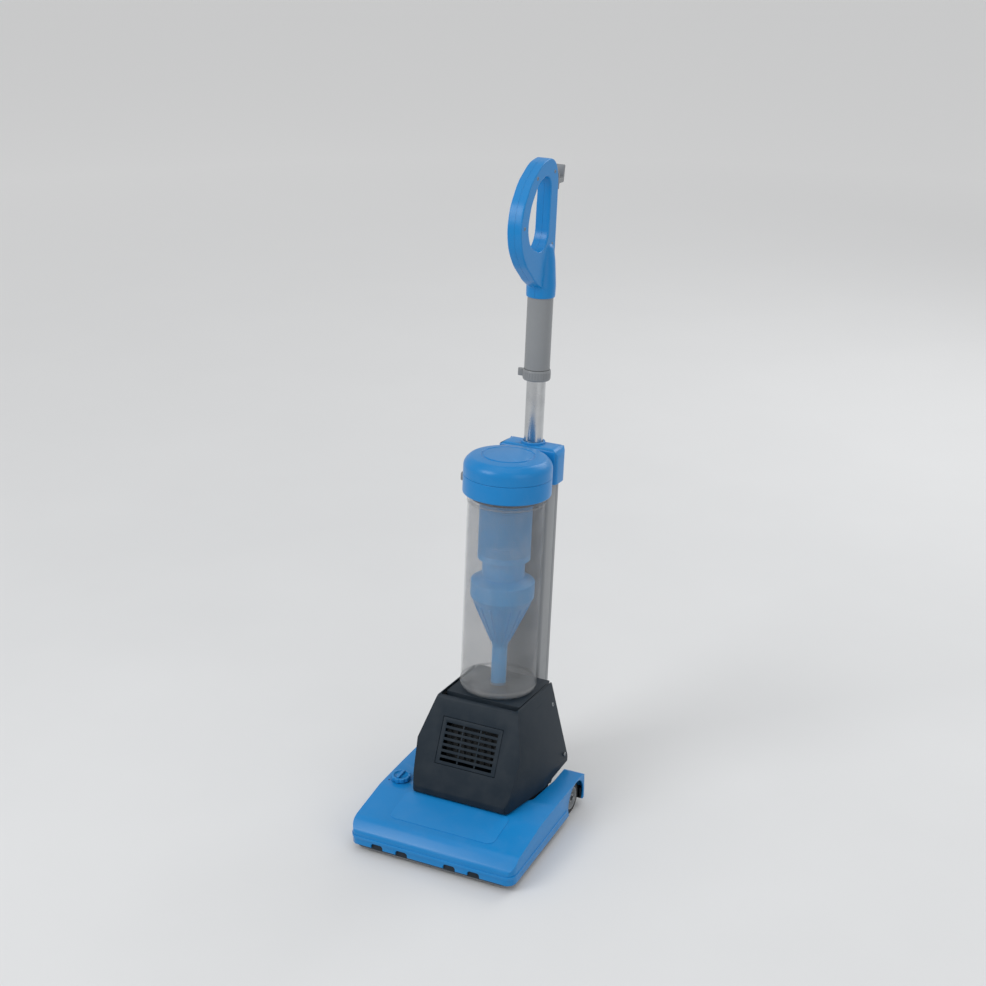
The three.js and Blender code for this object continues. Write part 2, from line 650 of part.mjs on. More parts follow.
function rearCapBlock() {
  const shell = cut(
    rearCapForm(0),
    rearCapForm(wall),
    box(-42, 42, 79, 107, 490, 510),
    box(airSlot.near, airSlot.far, 60, 90, airSlot.low, airSlot.high),
  );
  const barrel = rodZ(tubeRadius + 3, 474, rearCap.top - 1, 0, tubeY, 20);
  return cut(
    joined(shell, barrel),
    rodZ(tubeRadius + gap, 477, 600, 0, tubeY, 24),
    rodZ(8, 460, 480, 0, tubeY, 12),
  );
}

function lowerTube() {
  return tubeZ(tubeRadius, tubeRadius - 1.6, 477.5, tubeTop, 0, tubeY, 24);
}

// A cord hook: a plate, an arm standing off it and a tongue that keeps the cord on. up is 1 or -1.
function hookProfile(back, z, up) {
  const points = [
    [back, z - 13 * up], [back + 4, z - 13 * up], [back + 4, z - 4 * up], [back + 22, z - 4 * up],
    [back + 26, z + 24 * up], [back + 21, z + 25 * up], [back + 18, z + 4 * up], [back + 4, z + 4 * up],
    [back + 4, z + 13 * up], [back, z + 13 * up],
  ];
  return outline(up > 0 ? points : points.reverse(), 1.5);
}

function cordHook(back, z, up) {
  return alongX(hookProfile(back, z, up), -12, 12, 1);
}

// Dust bin, lifted out towards the front.

function binCup() {
  const inner = binRadius - 2.2;
  const shell = turned([
    [0, binFloor], [binRadius - 4, binFloor], [binRadius, binFloor + 5], [binRadius, binTop], [inner, binTop],
    [inner, binFloor + 6], [binRadius - 7, binFloor + 2.6], [19, binFloor + 2.6], [19, binFloor + 10],
    [16.5, binFloor + 10], [16.5, binFloor + 2.6], [0, binFloor + 2.6],
  ], 24);
  return cut(shell, rodY(duct.radius + 1, 30, 80, duct.x, duct.high, 16));
}

function cycloneShroud() {
  return tubeZ(44, 42, 386, binTop - 0.2, 0, 0, 24);
}

function cycloneCone() {
  return turned([
    [34, 385.6], [34, 352.5], [52, 344.5], [52, 319], [45, 307], [14, 237], [11, 227], [11, 156], [13, 156],
    [13, 226], [16, 236], [47, 306], [54, 318], [54, 346], [36, 354], [36, 385.6],
  ], 16);
}

function capRing() {
  const floorZ = binTop + gap;
  const ring = turned([
    [34, floorZ], [capRadius - 2, floorZ], [capRadius, floorZ + 3], [capRadius, capSplit],
    [capRadius - 4, capSplit], [capRadius - 4, floorZ + 3], [34, floorZ + 3],
  ], 28);
  return cut(
    ring,
    box(-90, -60, -11.5, 11.5, 509, 525), // release button
    box(airSlot.near, airSlot.far - 2, 50, 90, airSlot.low, airSlot.high),
  );
}

function binButton() {
  const face = outline([[-11, 509.5], [11, 509.5], [11, 524.5], [-11, 524.5]], 4);
  return alongX(face, -capRadius - 7, -capRadius + 7, 2);
}

function binLid() {
  return turned([
    [0, capTop - 4], [36, capTop - 5], [56, capTop - 10], [67, capTop - 20], [capRadius - 3.5, capSplit + gap],
    [capRadius, capSplit + gap], [capRadius, capTop - 20], [68, capTop - 8], [56, capTop - 2.5],
    [36, capTop - 0.5], [0, capTop],
  ], 28);
}

// Telescopic handle.

// The sleeve has a thinner neck at its foot, on which the collar turns.
function handleSleeve() {
  const inner = tubeRadius + gap;
  return turned([
    [inner, collarFoot], [neckRadius, collarFoot], [neckRadius, sleeveFoot + gap],
    [sleeveRadius, sleeveFoot + gap], [sleeveRadius, 835], [inner, 835],
  ], 24, 0, tubeY);
}

// Turning the collar by its ear frees the sleeve on the tube.
function lockCollar() {
  const inner = neckRadius + gap;
  const ring = turned([
    [inner, collarFoot], [22, collarFoot], [23.5, 676], [23.5, 686], [22.5, sleeveFoot], [inner, sleeveFoot],
  ], 24, 0, tubeY);
  const ear = cut(box(-34, -15, tubeY - 4, tubeY + 4, 675, 687), rodZ(inner + 1, 660, 700, 0, tubeY, 24));
  return joined(ring, ear);
}

const gripOuter = [
  [84, 826], [112, 850], [gripBack, 880], [gripBack, 1008], [110, 1032], [90, handleTop], [54, 1036], [14, 1010],
  [-12, 974], [-20, 938], [-12, 904], [10, 876], [48, 846],
];
const gripHole = [[66, 890], [90, 910], [92, 1002], [76, 1016], [44, 1006], [18, 972], [8, 938], [20, 906]];

// Outer form of the grip, or its inside when less is the wall.
function gripForm(less) {
  const loop = outline(inset(gripOuter, less), 14);
  const finger = outline(inset(gripHole, -less), 12);
  return cut(
    alongX(loop, -gripHalfThickness + less, gripHalfThickness - less, 2),
    alongX(finger, -30, 30, 2),
  );
}

function neckForm() {
  return turned([
    [0, handleFoot + gap], [24, handleFoot + gap], [24.5, 832], [21.5, 872], [18, 896], [10, 904], [0, 905],
  ], 20, 0, tubeY);
}

function handleHalf(side) {
  const bores = [
    rodZ(tubeRadius + 0.5, 790, 893, 0, tubeY, 20),
    rodZ(sleeveRadius + gap, 790, 836, 0, tubeY, 24),
    box(-8.4, 8.4, 115, 140, switchHeight - 12.7, switchHeight + 12.7),
    rodY(4.6, 103, 130, 0, glandHeight, 12),
    rodY(3.3, 108, 125, 0, hookHeight, 12),
  ];
  const half = side > 0 ? box(0.15, 60, -60, 160, 780, 1060) : box(-60, -0.15, -60, 160, 780, 1060);
  return cut(joined(gripForm(0), neckForm()), gripForm(wall), ...bores).intersect(half);
}

function powerSwitch() {
  const [low, high] = [switchHeight - 11.5, switchHeight + 11.5];
  const back = gripBack + 1;
  const profile = outline([[116, low], [back + 2, low], [back, switchHeight], [back + 4, high], [116, high]], 1);
  return alongX(profile, -8, 8, 1);
}

function cordGland() {
  return turned([[3.6, 0], [4.3, 0], [4.3, 3], [8, 3], [8, 8], [6, 13], [3.6, 13]], 12);
}

function upperHook() {
  const back = gripBack + gap;
  return joined(cordHook(back, hookHeight, 1), rodY(3, back - 5, back + 1, 0, hookHeight, 10));
}

// Assembly.

const vacuum = new THREE.Group();
const head = new THREE.Group();
piece(head, 'chassis', chassis(), finishes.dark);
piece(head, 'sole_plate', solePlate(), finishes.steel);
piece(head, 'head_cover', headCover(), finishes.blue);
piece(head, 'head_duct', headDuct(), finishes.dark);
piece(head, 'brush_roll', brushRoll(), finishes.bristle);
piece(head, 'drive_belt', driveBelt(), finishes.rubber);
piece(head, 'height_carriage', heightCarriage(), finishes.grey);
piece(head, 'carriage_rod', rodX(3, -75, 75, carriagePivot.y, carriagePivot.z, 10), finishes.steel);
piece(head, 'roller_axle', rodX(roller.axle, -67, 67, roller.y, roller.radius, 10), finishes.steel);
piece(head, 'height_knob', heightKnob(), finishes.blue);
piece(head, 'release_pedal', releasePedal(), finishes.dark);
piece(head, 'pedal_rod', rodX(pedal.rod, -146.7, -115.5, pedal.y, pedal.z, 12), finishes.steel);
piece(head, 'pedal_spring', pedalSpring(), finishes.steel);
[['left', -1], ['right', 1]].forEach(([name, side]) => {
  piece(head, `pivot_bracket_${name}`, pivotBracket(side), finishes.grey);
  piece(head, `wheel_axle_${name}`, stubAxle(side), finishes.steel);
  piece(head, `wheel_tyre_${name}`, tyre(side), finishes.rubber);
  piece(head, `wheel_hub_${name}`, wheelHub(side), finishes.grey);
  piece(head, `brush_bearing_${name}`, brushBearing(side), finishes.grey);
  piece(head, `front_roller_${name}`, frontRoller(side), finishes.rubber);
});
vacuum.add(head);

const upright = new THREE.Group();
piece(upright, 'motor_housing', motorHousing(), finishes.dark);
piece(upright, 'trunnion_left', trunnion(-1), finishes.grey);
piece(upright, 'trunnion_right', trunnion(1), finishes.grey);
piece(upright, 'motor_hood', motorHood(), finishes.dark);
piece(upright, 'exhaust_grille', exhaustGrille(), finishes.dark);
piece(upright, 'exhaust_filter', exhaustFilter(), finishes.foam);
piece(upright, 'motor_can', motorCan(), finishes.steel);
piece(upright, 'fan_housing', fanHousing(), finishes.metal);
piece(upright, 'motor_rotor', motorRotor(), finishes.steel);
piece(upright, 'fan_impeller', fanImpeller(), finishes.metal);
piece(upright, 'motor_mount', motorMount(30, 40, 40), finishes.rubber);
piece(upright, 'fan_mount', motorMount(-34, -26, 41.5), finishes.rubber);
piece(upright, 'riser_elbow', riserElbow(), finishes.rubber);
piece(upright, 'spine_housing', spineHousing(), finishes.grey);
piece(upright, 'spine_cover', spineCover(), finishes.grey);
piece(upright, 'dirty_duct', dirtyDuct(), finishes.dark);
piece(upright, 'clean_duct', cleanDuct(), finishes.dark);
piece(upright, 'rear_cap', rearCapBlock(), finishes.blue);
piece(upright, 'lower_tube', lowerTube(), finishes.metal);
piece(upright, 'cord_hook_lower', cordHook(spineBack + gap, 330, -1), finishes.grey);

piece(upright, 'bin_cup', binCup(), finishes.clear);
piece(upright, 'cyclone_shroud', cycloneShroud(), finishes.blue);
piece(upright, 'cyclone_cone', cycloneCone(), finishes.blue);
piece(upright, 'bin_gasket', tubeZ(62.2, 60, 493, binTop - 0.2, 0, 0, 24), finishes.rubber);
piece(upright, 'cap_ring', capRing(), finishes.blue);
piece(upright, 'foam_filter', rodZ(62, binTop + 4, capSplit - 3, 0, 0, 24), finishes.foam);
piece(upright, 'bin_button', binButton(), finishes.grey);
piece(upright, 'bin_lid', binLid(), finishes.blue);

piece(upright, 'handle_sleeve', handleSleeve(), finishes.grey);
piece(upright, 'lock_collar', lockCollar(), finishes.grey);
piece(upright, 'handle_left', handleHalf(-1), finishes.blue);
piece(upright, 'handle_right', handleHalf(1), finishes.blue);
piece(upright, 'power_switch', powerSwitch(), finishes.dark);
piece(upright, 'cord_hook_upper', upperHook(), finishes.grey);
const gland = piece(upright, 'cord_gland', cordGland(), finishes.dark);
gland.rotation.x = -Math.PI / 2;
gland.position.set(0, gripBack, glandHeight);

upright.position.z = pivotHeight;
upright.rotation.x = -parkedLean;
vacuum.add(upright);

// The part's origin is the middle of its box, on the floor.
vacuum.updateMatrixWorld(true);
const bounds = new THREE.Box3().setFromObject(vacuum);
vacuum.position.y = -(bounds.min.y + bounds.max.y) / 2;

export default vacuum;
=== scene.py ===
import json
import math
import bmesh
import bpy
from mathutils import Matrix, Vector


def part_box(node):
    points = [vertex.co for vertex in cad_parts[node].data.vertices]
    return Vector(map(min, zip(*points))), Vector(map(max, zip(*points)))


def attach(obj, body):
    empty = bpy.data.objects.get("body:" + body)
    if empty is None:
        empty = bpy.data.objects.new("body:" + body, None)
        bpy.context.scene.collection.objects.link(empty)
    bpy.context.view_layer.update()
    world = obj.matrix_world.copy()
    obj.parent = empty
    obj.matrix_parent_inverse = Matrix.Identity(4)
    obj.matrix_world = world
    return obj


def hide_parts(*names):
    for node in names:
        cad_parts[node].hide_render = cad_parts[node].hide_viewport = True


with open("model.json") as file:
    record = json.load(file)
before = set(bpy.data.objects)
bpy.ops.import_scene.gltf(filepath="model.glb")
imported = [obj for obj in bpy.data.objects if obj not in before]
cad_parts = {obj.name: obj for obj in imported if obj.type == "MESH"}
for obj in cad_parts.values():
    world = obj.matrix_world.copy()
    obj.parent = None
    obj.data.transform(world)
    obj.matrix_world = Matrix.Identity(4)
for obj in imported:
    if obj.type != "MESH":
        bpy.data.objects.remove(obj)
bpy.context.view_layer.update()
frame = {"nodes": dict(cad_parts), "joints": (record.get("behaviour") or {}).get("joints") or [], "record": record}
joints = {joint["name"]: joint for joint in frame["joints"]}

# The upright's pieces are modelled standing straight, with the recline axis at z = 0, and then leant back.
pivot = Vector(joints["recline"]["pos_m"])
upAxis = Vector(joints["telescope"]["axis"])
leaning = Matrix.Translation(pivot) @ Matrix.Rotation(-math.atan2(upAxis.y, upAxis.z), 4, "X")


def straightBox(node):
    # a node's lowest and highest corners with the upright stood straight
    corners = [leaning.inverted() @ vertex.co for vertex in frame["nodes"][node].data.vertices]
    low = Vector([min(corner[i] for corner in corners) for i in range(3)])
    high = Vector([max(corner[i] for corner in corners) for i in range(3)])
    return low, high


# Modelling

def clearSelection():
    bpy.ops.object.select_all(action="DESELECT")


def makeActive(piece):
    clearSelection()
    piece.select_set(True)
    bpy.context.view_layer.objects.active = piece


def editMode(piece):
    makeActive(piece)
    bpy.ops.object.mode_set(mode="EDIT")


def objectMode():
    bpy.ops.object.mode_set(mode="OBJECT")


def pick(kind, wanted):
    # in edit mode, selects the faces, edges or corners that pass the test
    piece = bpy.context.edit_object
    bpy.ops.mesh.select_mode(type=kind)
    bpy.ops.mesh.select_all(action="DESELECT")
    mesh = bmesh.from_edit_mesh(piece.data)
    mesh.normal_update()
    for part in {"FACE": mesh.faces, "EDGE": mesh.edges, "VERT": mesh.verts}[kind]:
        part.select_set(bool(wanted(part)))
    mesh.select_flush_mode()
    bmesh.update_edit_mesh(piece.data)


def tidyMesh():
    bpy.ops.mesh.select_all(action="SELECT")
    bpy.ops.mesh.remove_doubles(threshold=1e-5)
    bpy.ops.mesh.normals_make_consistent(inside=False)


def drawLine(name, points):
    # one corner of a small plane is drawn out from point to point; the piece stays in edit mode
    clearSelection()
    bpy.ops.mesh.primitive_plane_add(size=0.001)
    piece = bpy.context.active_object
    piece.name = name
    piece.data.name = name
    bpy.ops.object.mode_set(mode="EDIT")
    bpy.ops.mesh.select_mode(type="VERT")
    bpy.ops.mesh.merge(type="CENTER")
    bpy.ops.transform.translate(value=points[0])
    for before, after in zip(points, points[1:]):
        step = Vector(after) - Vector(before)
        bpy.ops.mesh.extrude_vertices_move(TRANSFORM_OT_translate={"value": step})
    return piece


def shrunk(corners, less):
    # an outline drawn anticlockwise, with every side moved inwards
    points = []
    for i, corner in enumerate(corners):
        here = Vector(corner)
        into = (here - Vector(corners[i - 1])).normalized()
        out = (Vector(corners[(i + 1) % len(corners)]) - here).normalized()
        inwards = Vector((-into.y - out.y, into.x + out.x))
        points.append(tuple(here + inwards * less / (1 + into.dot(out))))
    return points


def oblong(left, right, low, high):
    return [(left, low), (right, low), (right, high), (left, high)]


def roundOff(corners, radii, steps=5):
    # a closed outline with an arc at each corner
    if not isinstance(radii, (list, tuple)):
        radii = [radii] * len(corners)
    points = []
    for i, corner in enumerate(corners):
        here = Vector(corner)
        before = Vector(corners[i - 1]) - here
        after = Vector(corners[(i + 1) % len(corners)]) - here
        half = before.angle(after) / 2
        if radii[i] <= 0 or half > math.pi / 2 - 0.02:
            points.append(tuple(here))
            continue
        reach = min(radii[i] / math.tan(half), before.length * 0.49, after.length * 0.49)
        radius = reach * math.tan(half)
        centre = here + (before.normalized() + after.normalized()).normalized() * radius / math.sin(half)
        start = here + before.normalized() * reach - centre
        end = here + after.normalized() * reach - centre
        sweep = start.angle_signed(end)
        for k in range(steps + 1):
            turn = Matrix.Rotation(-sweep * k / steps, 2)
            points.append(tuple(centre + turn @ start))
    return points


def slab(name, outline, facing, start, end):
    # a flat outline drawn across X, Y or Z and given depth from start to end
    place = {"X": lambda a, b, d: (d, a, b), "Y": lambda a, b, d: (a, d, b), "Z": lambda a, b, d: (a, b, d)}
    corners = [place[facing](a, b, start) for a, b in outline]
    piece = drawLine(name, corners)
    bpy.ops.mesh.select_all(action="SELECT")
    bpy.ops.mesh.edge_face_add()
    depth = place[facing](0, 0, end - start)
    bpy.ops.mesh.extrude_region_move(TRANSFORM_OT_translate={"value": depth})
    tidyMesh()
    objectMode()
    return piece


def turned(name, profile, steps=72, about="Z", centre=(0, 0, 0), closed=True):
    # a profile of (radius, height) points spun about Z or X; one off the axis closes on itself
    points = list(profile)
    if points[0][0] > 0 and closed:
        points.append(points[0])
    if about == "Z":
        line = [(radius, 0, height) for radius, height in points]
    else:
        line = [(height, 0, radius) for radius, height in points]
    piece = drawLine(name, line)
    bpy.ops.mesh.select_all(action="SELECT")
    axis = (0, 0, 1) if about == "Z" else (1, 0, 0)
    bpy.ops.mesh.spin(steps=steps, angle=2 * math.pi, center=(0, 0, 0), axis=axis)
    tidyMesh()
    bpy.ops.transform.translate(value=centre)
    objectMode()
    return piece


def block(name, low, high, softness=0.0):
    clearSelection()
    low, high = Vector(low), Vector(high)
    bpy.ops.mesh.primitive_cube_add(size=1, location=(low + high) / 2, scale=high - low)
    piece = bpy.context.active_object
    piece.name = name
    bpy.ops.object.transform_apply(location=True, rotation=True, scale=True)
    if softness:
        softenEdges(piece, softness)
    return piece


def rod(name, radius, start, end, sides=48):
    # a round bar from one point to another
    start, end = Vector(start), Vector(end)
    clearSelection()
    bpy.ops.mesh.primitive_cylinder_add(radius=radius, depth=(end - start).length, vertices=sides)
    piece = bpy.context.active_object
    piece.name = name
    turn = (end - start).to_track_quat("Z", "Y").to_matrix().to_4x4()
    piece.matrix_world = Matrix.Translation((start + end) / 2) @ turn
    bpy.ops.object.transform_apply(location=True, rotation=True, scale=True)
    return piece


def applied(piece, kind, **settings):
    makeActive(piece)
    modifier = piece.modifiers.new("work", kind)
    for key, value in settings.items():
        setattr(modifier, key, value)
    bpy.ops.object.modifier_apply(modifier=modifier.name)
    return piece


def softenEdges(piece, width, segments=3, angle=32, clamp=True):
    return applied(piece, "BEVEL", width=width, segments=segments, limit_method="ANGLE",
                   angle_limit=math.radians(angle), use_clamp_overlap=clamp)


def carve(piece, *tools, how="DIFFERENCE"):
    for tool in tools:
        applied(piece, "BOOLEAN", operation=how, object=tool, solver="EXACT")
        bpy.data.objects.remove(tool)
    return piece


def duplicate(piece, name):
    copy = bpy.data.objects.new(name, piece.data.copy())
    bpy.context.scene.collection.objects.link(copy)
    return copy


def joinPieces(first, *others):
    clearSelection()
    for piece in (first, *others):
        piece.select_set(True)
    bpy.context.view_layer.objects.active = first
    bpy.ops.object.join()
    return first


def movePiece(piece, matrix):
    piece.data.transform(matrix)
    return piece


def leanBack(piece):
    return movePiece(piece, leaning)


def ringOf(piece, count, axis, centre):
    # copies of a piece round an axis, joined with it
    centre = Vector(centre)
    copies = []
    for i in range(1, count):
        turn = Matrix.Rotation(2 * math.pi * i / count, 4, axis)
        place = Matrix.Translation(centre) @ turn @ Matrix.Translation(-centre)
        copies.append(movePiece(duplicate(piece, piece.name), place))
    return joinPieces(piece, *copies)


def fromCad(node, width, segments=2, angle=40):
    # a merged copy of a CAD node with its sharp edges softened
    piece = duplicate(frame["nodes"][node], node + "_soft")
    editMode(piece)
    bpy.ops.mesh.select_all(action="SELECT")
    bpy.ops.mesh.remove_doubles(threshold=1e-5)
    bpy.ops.mesh.tris_convert_to_quads(face_threshold=math.radians(0.5),
                                       shape_threshold=math.radians(60))
    objectMode()
    return softenEdges(piece, width, segments, angle, clamp=False)


def finishPiece(piece, finish, body, *nodes, slot=None, smooth=38):
    # smooth shading, its material, the body it rides on and the nodes it stands for
    makeActive(piece)
    bpy.ops.object.shade_smooth_by_angle(angle=math.radians(smooth))
    piece.data.materials.clear()
    piece.data.materials.append(finish)
    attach(piece, body)
    if nodes:
        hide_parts(*nodes)
    return piece


# Materials

class Flow:
    # a value in a shader, which can be worked with like a number
    def __init__(self, bench, socket):
        self.bench = bench
        self.socket = socket

    def maths(self, operation, first, second):
        return self.bench.node("Math", {"operation": operation}, {0: first, 1: second})

    def __add__(self, other):
        return self.maths("ADD", self, other)

    def __radd__(self, other):
        return self.maths("ADD", other, self)

    def __sub__(self, other):
        return self.maths("SUBTRACT", self, other)

    def __rsub__(self, other):
        return self.maths("SUBTRACT", other, self)

    def __mul__(self, other):
        return self.maths("MULTIPLY", self, other)

    def __rmul__(self, other):
        return self.maths("MULTIPLY", other, self)


class Bench:
    # one material and the nodes put in it
    def __init__(self, name):
        self.material = bpy.data.materials.new(name)
        self.material.use_nodes = True
        self.tree = self.material.node_tree
        self.shader = self.tree.nodes["Principled BSDF"]
        self.place = self.node("TexCoord", out="Object")

    def node(self, kind, settings=(), sockets=(), out=0):
        made = self.tree.nodes.new("ShaderNode" + kind)
        for key, value in dict(settings).items():
            setattr(made, key, value)
        for key, value in dict(sockets).items():
            self.plug(made.inputs[key], value)
        return Flow(self, made.outputs[out])

    def plug(self, socket, value):
        if isinstance(value, Flow):
            self.tree.links.new(value.socket, socket)
        else:
            socket.default_value = value

    def set(self, **values):
        for key, value in values.items():
            self.plug(self.shader.inputs[key.replace("_", " ")], value)

    def noise(self, scale, detail=3, stretch=(1, 1, 1)):
        place = self.node("Mapping", {}, {"Vector": self.place, "Scale": stretch})
        return self.node("TexNoise", {}, {"Vector": place, "Scale": scale, "Detail": detail}, out="Fac")

    def between(self, value, low, high):
        return self.node("MapRange", {}, {"Value": value, "From Min": low, "From Max": high})

    def blend(self, mask, first, second):
        # the Mix node keeps its colours on sockets 6 and 7, and its colour result on output 2
        colours = [(*colour, 1) if isinstance(colour, tuple) else colour for colour in (first, second)]
        return self.node("Mix", {"data_type": "RGBA"}, {0: mask, 6: colours[0], 7: colours[1]}, out=2)

    def bump(self, height, depth, under=None):
        sockets = {"Height": height, "Distance": depth, "Strength": 1.0}
        if under:
            sockets["Normal"] = under
        return self.node("Bump", {}, sockets)

    def edges(self, low=0.505, high=0.56):
        return self.between(self.node("NewGeometry", out="Pointiness"), low, high)


def tone(code):
    # the light in a hex colour
    parts = [int(code[i:i + 2], 16) / 255 for i in (0, 2, 4)]
    return tuple(part / 12.92 if part <= 0.04045 else ((part + 0.055) / 1.055) ** 2.4 for part in parts)


def shade(colour, share):
    return tuple(part * share for part in colour)


def mouldedPlastic(name, colour, roughness, grain, depth, shine=0.35):
    # grain is the texture's grains per metre, depth how deep they are
    bench = Bench(name)
    patchy = bench.noise(9, 4)
    handling = bench.between(bench.noise(38, 5), 0.45, 0.75)
    scratch = bench.between(bench.noise(420, 2, (1, 0.06, 1)), 0.62, 0.72)
    scratch = scratch * bench.between(bench.noise(14, 2), 0.5, 0.65)
    body = bench.blend(patchy, shade(colour, 0.93), shade(colour, 1.06))
    worn = bench.blend(bench.edges() * 0.25, body, tuple(min(1, part * 1.25 + 0.03) for part in colour))
    dusty = bench.blend(handling * 0.02, worn, (0.5, 0.49, 0.46))
    bench.set(Base_Color=dusty)
    bench.set(Roughness=roughness + 0.07 * handling + 0.12 * scratch + 0.04 * patchy)
    bench.set(Specular_IOR_Level=shine)
    texture = bench.bump(bench.noise(grain, 2), depth)
    bench.set(Normal=bench.bump(bench.noise(60, 2), depth * 1.5, texture))
    return bench.material


def smokyPlastic(name):
    bench = Bench(name)
    haze = bench.between(bench.noise(26, 5), 0.4, 0.8)
    scuffs = bench.between(bench.noise(300, 3, (1, 1, 0.05)), 0.6, 0.75)
    bench.set(Base_Color=bench.blend(haze, (0.3, 0.31, 0.32), (0.4, 0.41, 0.42)))
    bench.set(Roughness=0.06 + 0.08 * haze + 0.15 * scuffs)
    bench.set(Alpha=0.22 + 0.07 * haze + 0.06 * scuffs, IOR=1.5)
    bench.set(Normal=bench.bump(bench.noise(30, 1), 0.0002))
    bench.material.surface_render_method = "BLENDED"
    return bench.material


def drawnMetal(name, colour, roughness, stretch):
    # fine lines run along the direction with the small stretch
    bench = Bench(name)
    lines = bench.noise(1500, 2, stretch)
    smudge = bench.between(bench.noise(30, 5), 0.4, 0.75)
    bench.set(Base_Color=bench.blend(smudge, colour, shade(colour, 0.86)), Metallic=1.0)
    bench.set(Roughness=roughness + 0.12 * lines + 0.1 * smudge)
    bench.set(Normal=bench.bump(lines, 0.00003))
    return bench.material


def softRubber(name, colour):
    bench = Bench(name)
    dust = bench.between(bench.noise(45, 6), 0.45, 0.8)
    bench.set(Base_Color=bench.blend(dust * 0.35, colour, (0.19, 0.18, 0.17)))
    bench.set(Roughness=0.62 + 0.25 * dust)
    bench.set(Normal=bench.bump(bench.noise(1400, 3), 0.00012))
    return bench.material


def openFoam(name, colour):
    bench = Bench(name)
    cells = bench.node("TexVoronoi", {"feature": "F1"}, {"Vector": bench.place, "Scale": 700}, out="Distance")
    bench.set(Base_Color=bench.blend(cells, shade(colour, 0.4), colour), Roughness=0.95)
    bench.set(Normal=bench.bump(cells, 0.0006))
    return bench.material


def bristleFibre(name, colour):
    bench = Bench(name)
    strands = bench.noise(2500, 2, (1, 1, 0.2))
    bench.set(Base_Color=bench.blend(strands, shade(colour, 0.5), shade(colour, 1.6)))
    bench.set(Roughness=0.6 + 0.2 * strands)
    bench.set(Normal=bench.bump(strands, 0.0003))
    return bench.material


blue = mouldedPlastic("blue_moulding", tone("067abd"), 0.27, 1300, 0.00002)
navy = mouldedPlastic("navy_texture", tone("12202b"), 0.5, 1500, 0.00008, 0.22)
grey = mouldedPlastic("grey_moulding", tone("7e8184"), 0.36, 1400, 0.00004)
black = mouldedPlastic("black_moulding", tone("1b1e20"), 0.42, 1500, 0.00006)
cyclone = mouldedPlastic("cyclone_blue", tone("1a9adc"), 0.3, 1300, 0.00002)
smoky = smokyPlastic("smoky_clear")
plated = drawnMetal("plated_tube", tone("c4c6c8"), 0.16, (1, 1, 0.01))
steel = drawnMetal("plain_steel", tone("8f9396"), 0.3, (0.02, 1, 1))
alloy = drawnMetal("cast_alloy", tone("b4b6b8"), 0.38, (1, 1, 1))
rubber = softRubber("black_rubber", tone("17191b"))
foam = openFoam("filter_foam", tone("3a3d40"))
fibre = bristleFibre("brush_fibre", tone("24272a"))
slotFinish = {"blue_plastic": blue, "dark_plastic": navy, "grey_plastic": grey, "clear_plastic": smoky,
              "bright_metal": plated, "aluminium": alloy, "steel": steel, "rubber": rubber, "foam": foam,
              "bristle": fibre}
for subpart in frame["record"]["subparts"]:
    node = frame["nodes"][subpart["node"]]
    node.data.materials.clear()
    node.data.materials.append(slotFinish[subpart["material_slot"]])
print("materials done")

# Camera, floor and lights

view = {"azimuth": 25.5, "elevation": 23.4, "distance": 2.8917, "aim": (0, -0.003, 0.5817), "lens": 65}


def placeCamera():
    turn, rise = math.radians(view["azimuth"]), math.radians(view["elevation"])
    back = Vector((math.sin(turn) * math.cos(rise), -math.cos(turn) * math.cos(rise), math.sin(rise)))
    clearSelection()
    bpy.ops.object.camera_add(location=Vector(view["aim"]) + back * view["distance"])
    camera = bpy.context.active_object
    camera.rotation_euler = (-back).to_track_quat("-Z", "Y").to_euler()
    camera.data.lens = view["lens"]
    camera.data.sensor_width = 36
    bpy.context.scene.camera = camera


def placeLight(name, location, size, power, target=(0, 0, 0.5)):
    clearSelection()
    bpy.ops.object.light_add(type="AREA", location=location)
    light = bpy.context.active_object
    light.name = name
    light.rotation_euler = (Vector(target) - Vector(location)).to_track_quat("-Z", "Y").to_euler()
    light.data.size = size
    light.data.energy = power


# each light's name, place, size and power
lights = (
    ("key_light", (-1.6, -2.2, 2.6), 1.6, 42),
    ("fill_light", (2.6, -1.4, 1.5), 2.2, 12),
    ("back_light", (0.8, 2.4, 2.2), 1.6, 22),
    ("top_light", (0, -0.2, 3.4), 2.4, 12),
)
studioValues = {"sky": 0.62, "floorSize": 30, "floorDrop": 0.0005, "paleStart": 1.2, "paleEnd": 5}


def setStudio():
    for light in lights:
        placeLight(*light)
    world = bpy.context.scene.world or bpy.data.worlds.new("studio")
    bpy.context.scene.world = world
    world.use_nodes = True
    world.node_tree.nodes["Background"].inputs["Color"].default_value = (1, 1, 1, 1)
    world.node_tree.nodes["Background"].inputs["Strength"].default_value = studioValues["sky"]
    bpy.context.scene.view_settings.view_transform = "Standard"
    clearSelection()
    bpy.ops.mesh.primitive_plane_add(size=studioValues["floorSize"],
                                     location=(0, 0, -studioValues["floorDrop"]))
    floor = bpy.context.active_object
    floor.name = "studio_floor"
    bench = Bench("pale_floor")
    distance = bench.node("VectorMath", {"operation": "LENGTH"}, {0: bench.place}, out="Value")
    near = bench.blend(bench.noise(3, 3), (0.66, 0.67, 0.68), (0.7, 0.71, 0.72))
    # the lights fall off, so the floor is paler further out
    far = bench.between(distance, studioValues["paleStart"], studioValues["paleEnd"])
    bench.set(Base_Color=bench.blend(far, near, (0.93, 0.935, 0.94)), Roughness=0.6)
    floor.data.materials.append(bench.material)


placeCamera()
setStudio()
print("studio done")

# Floor head

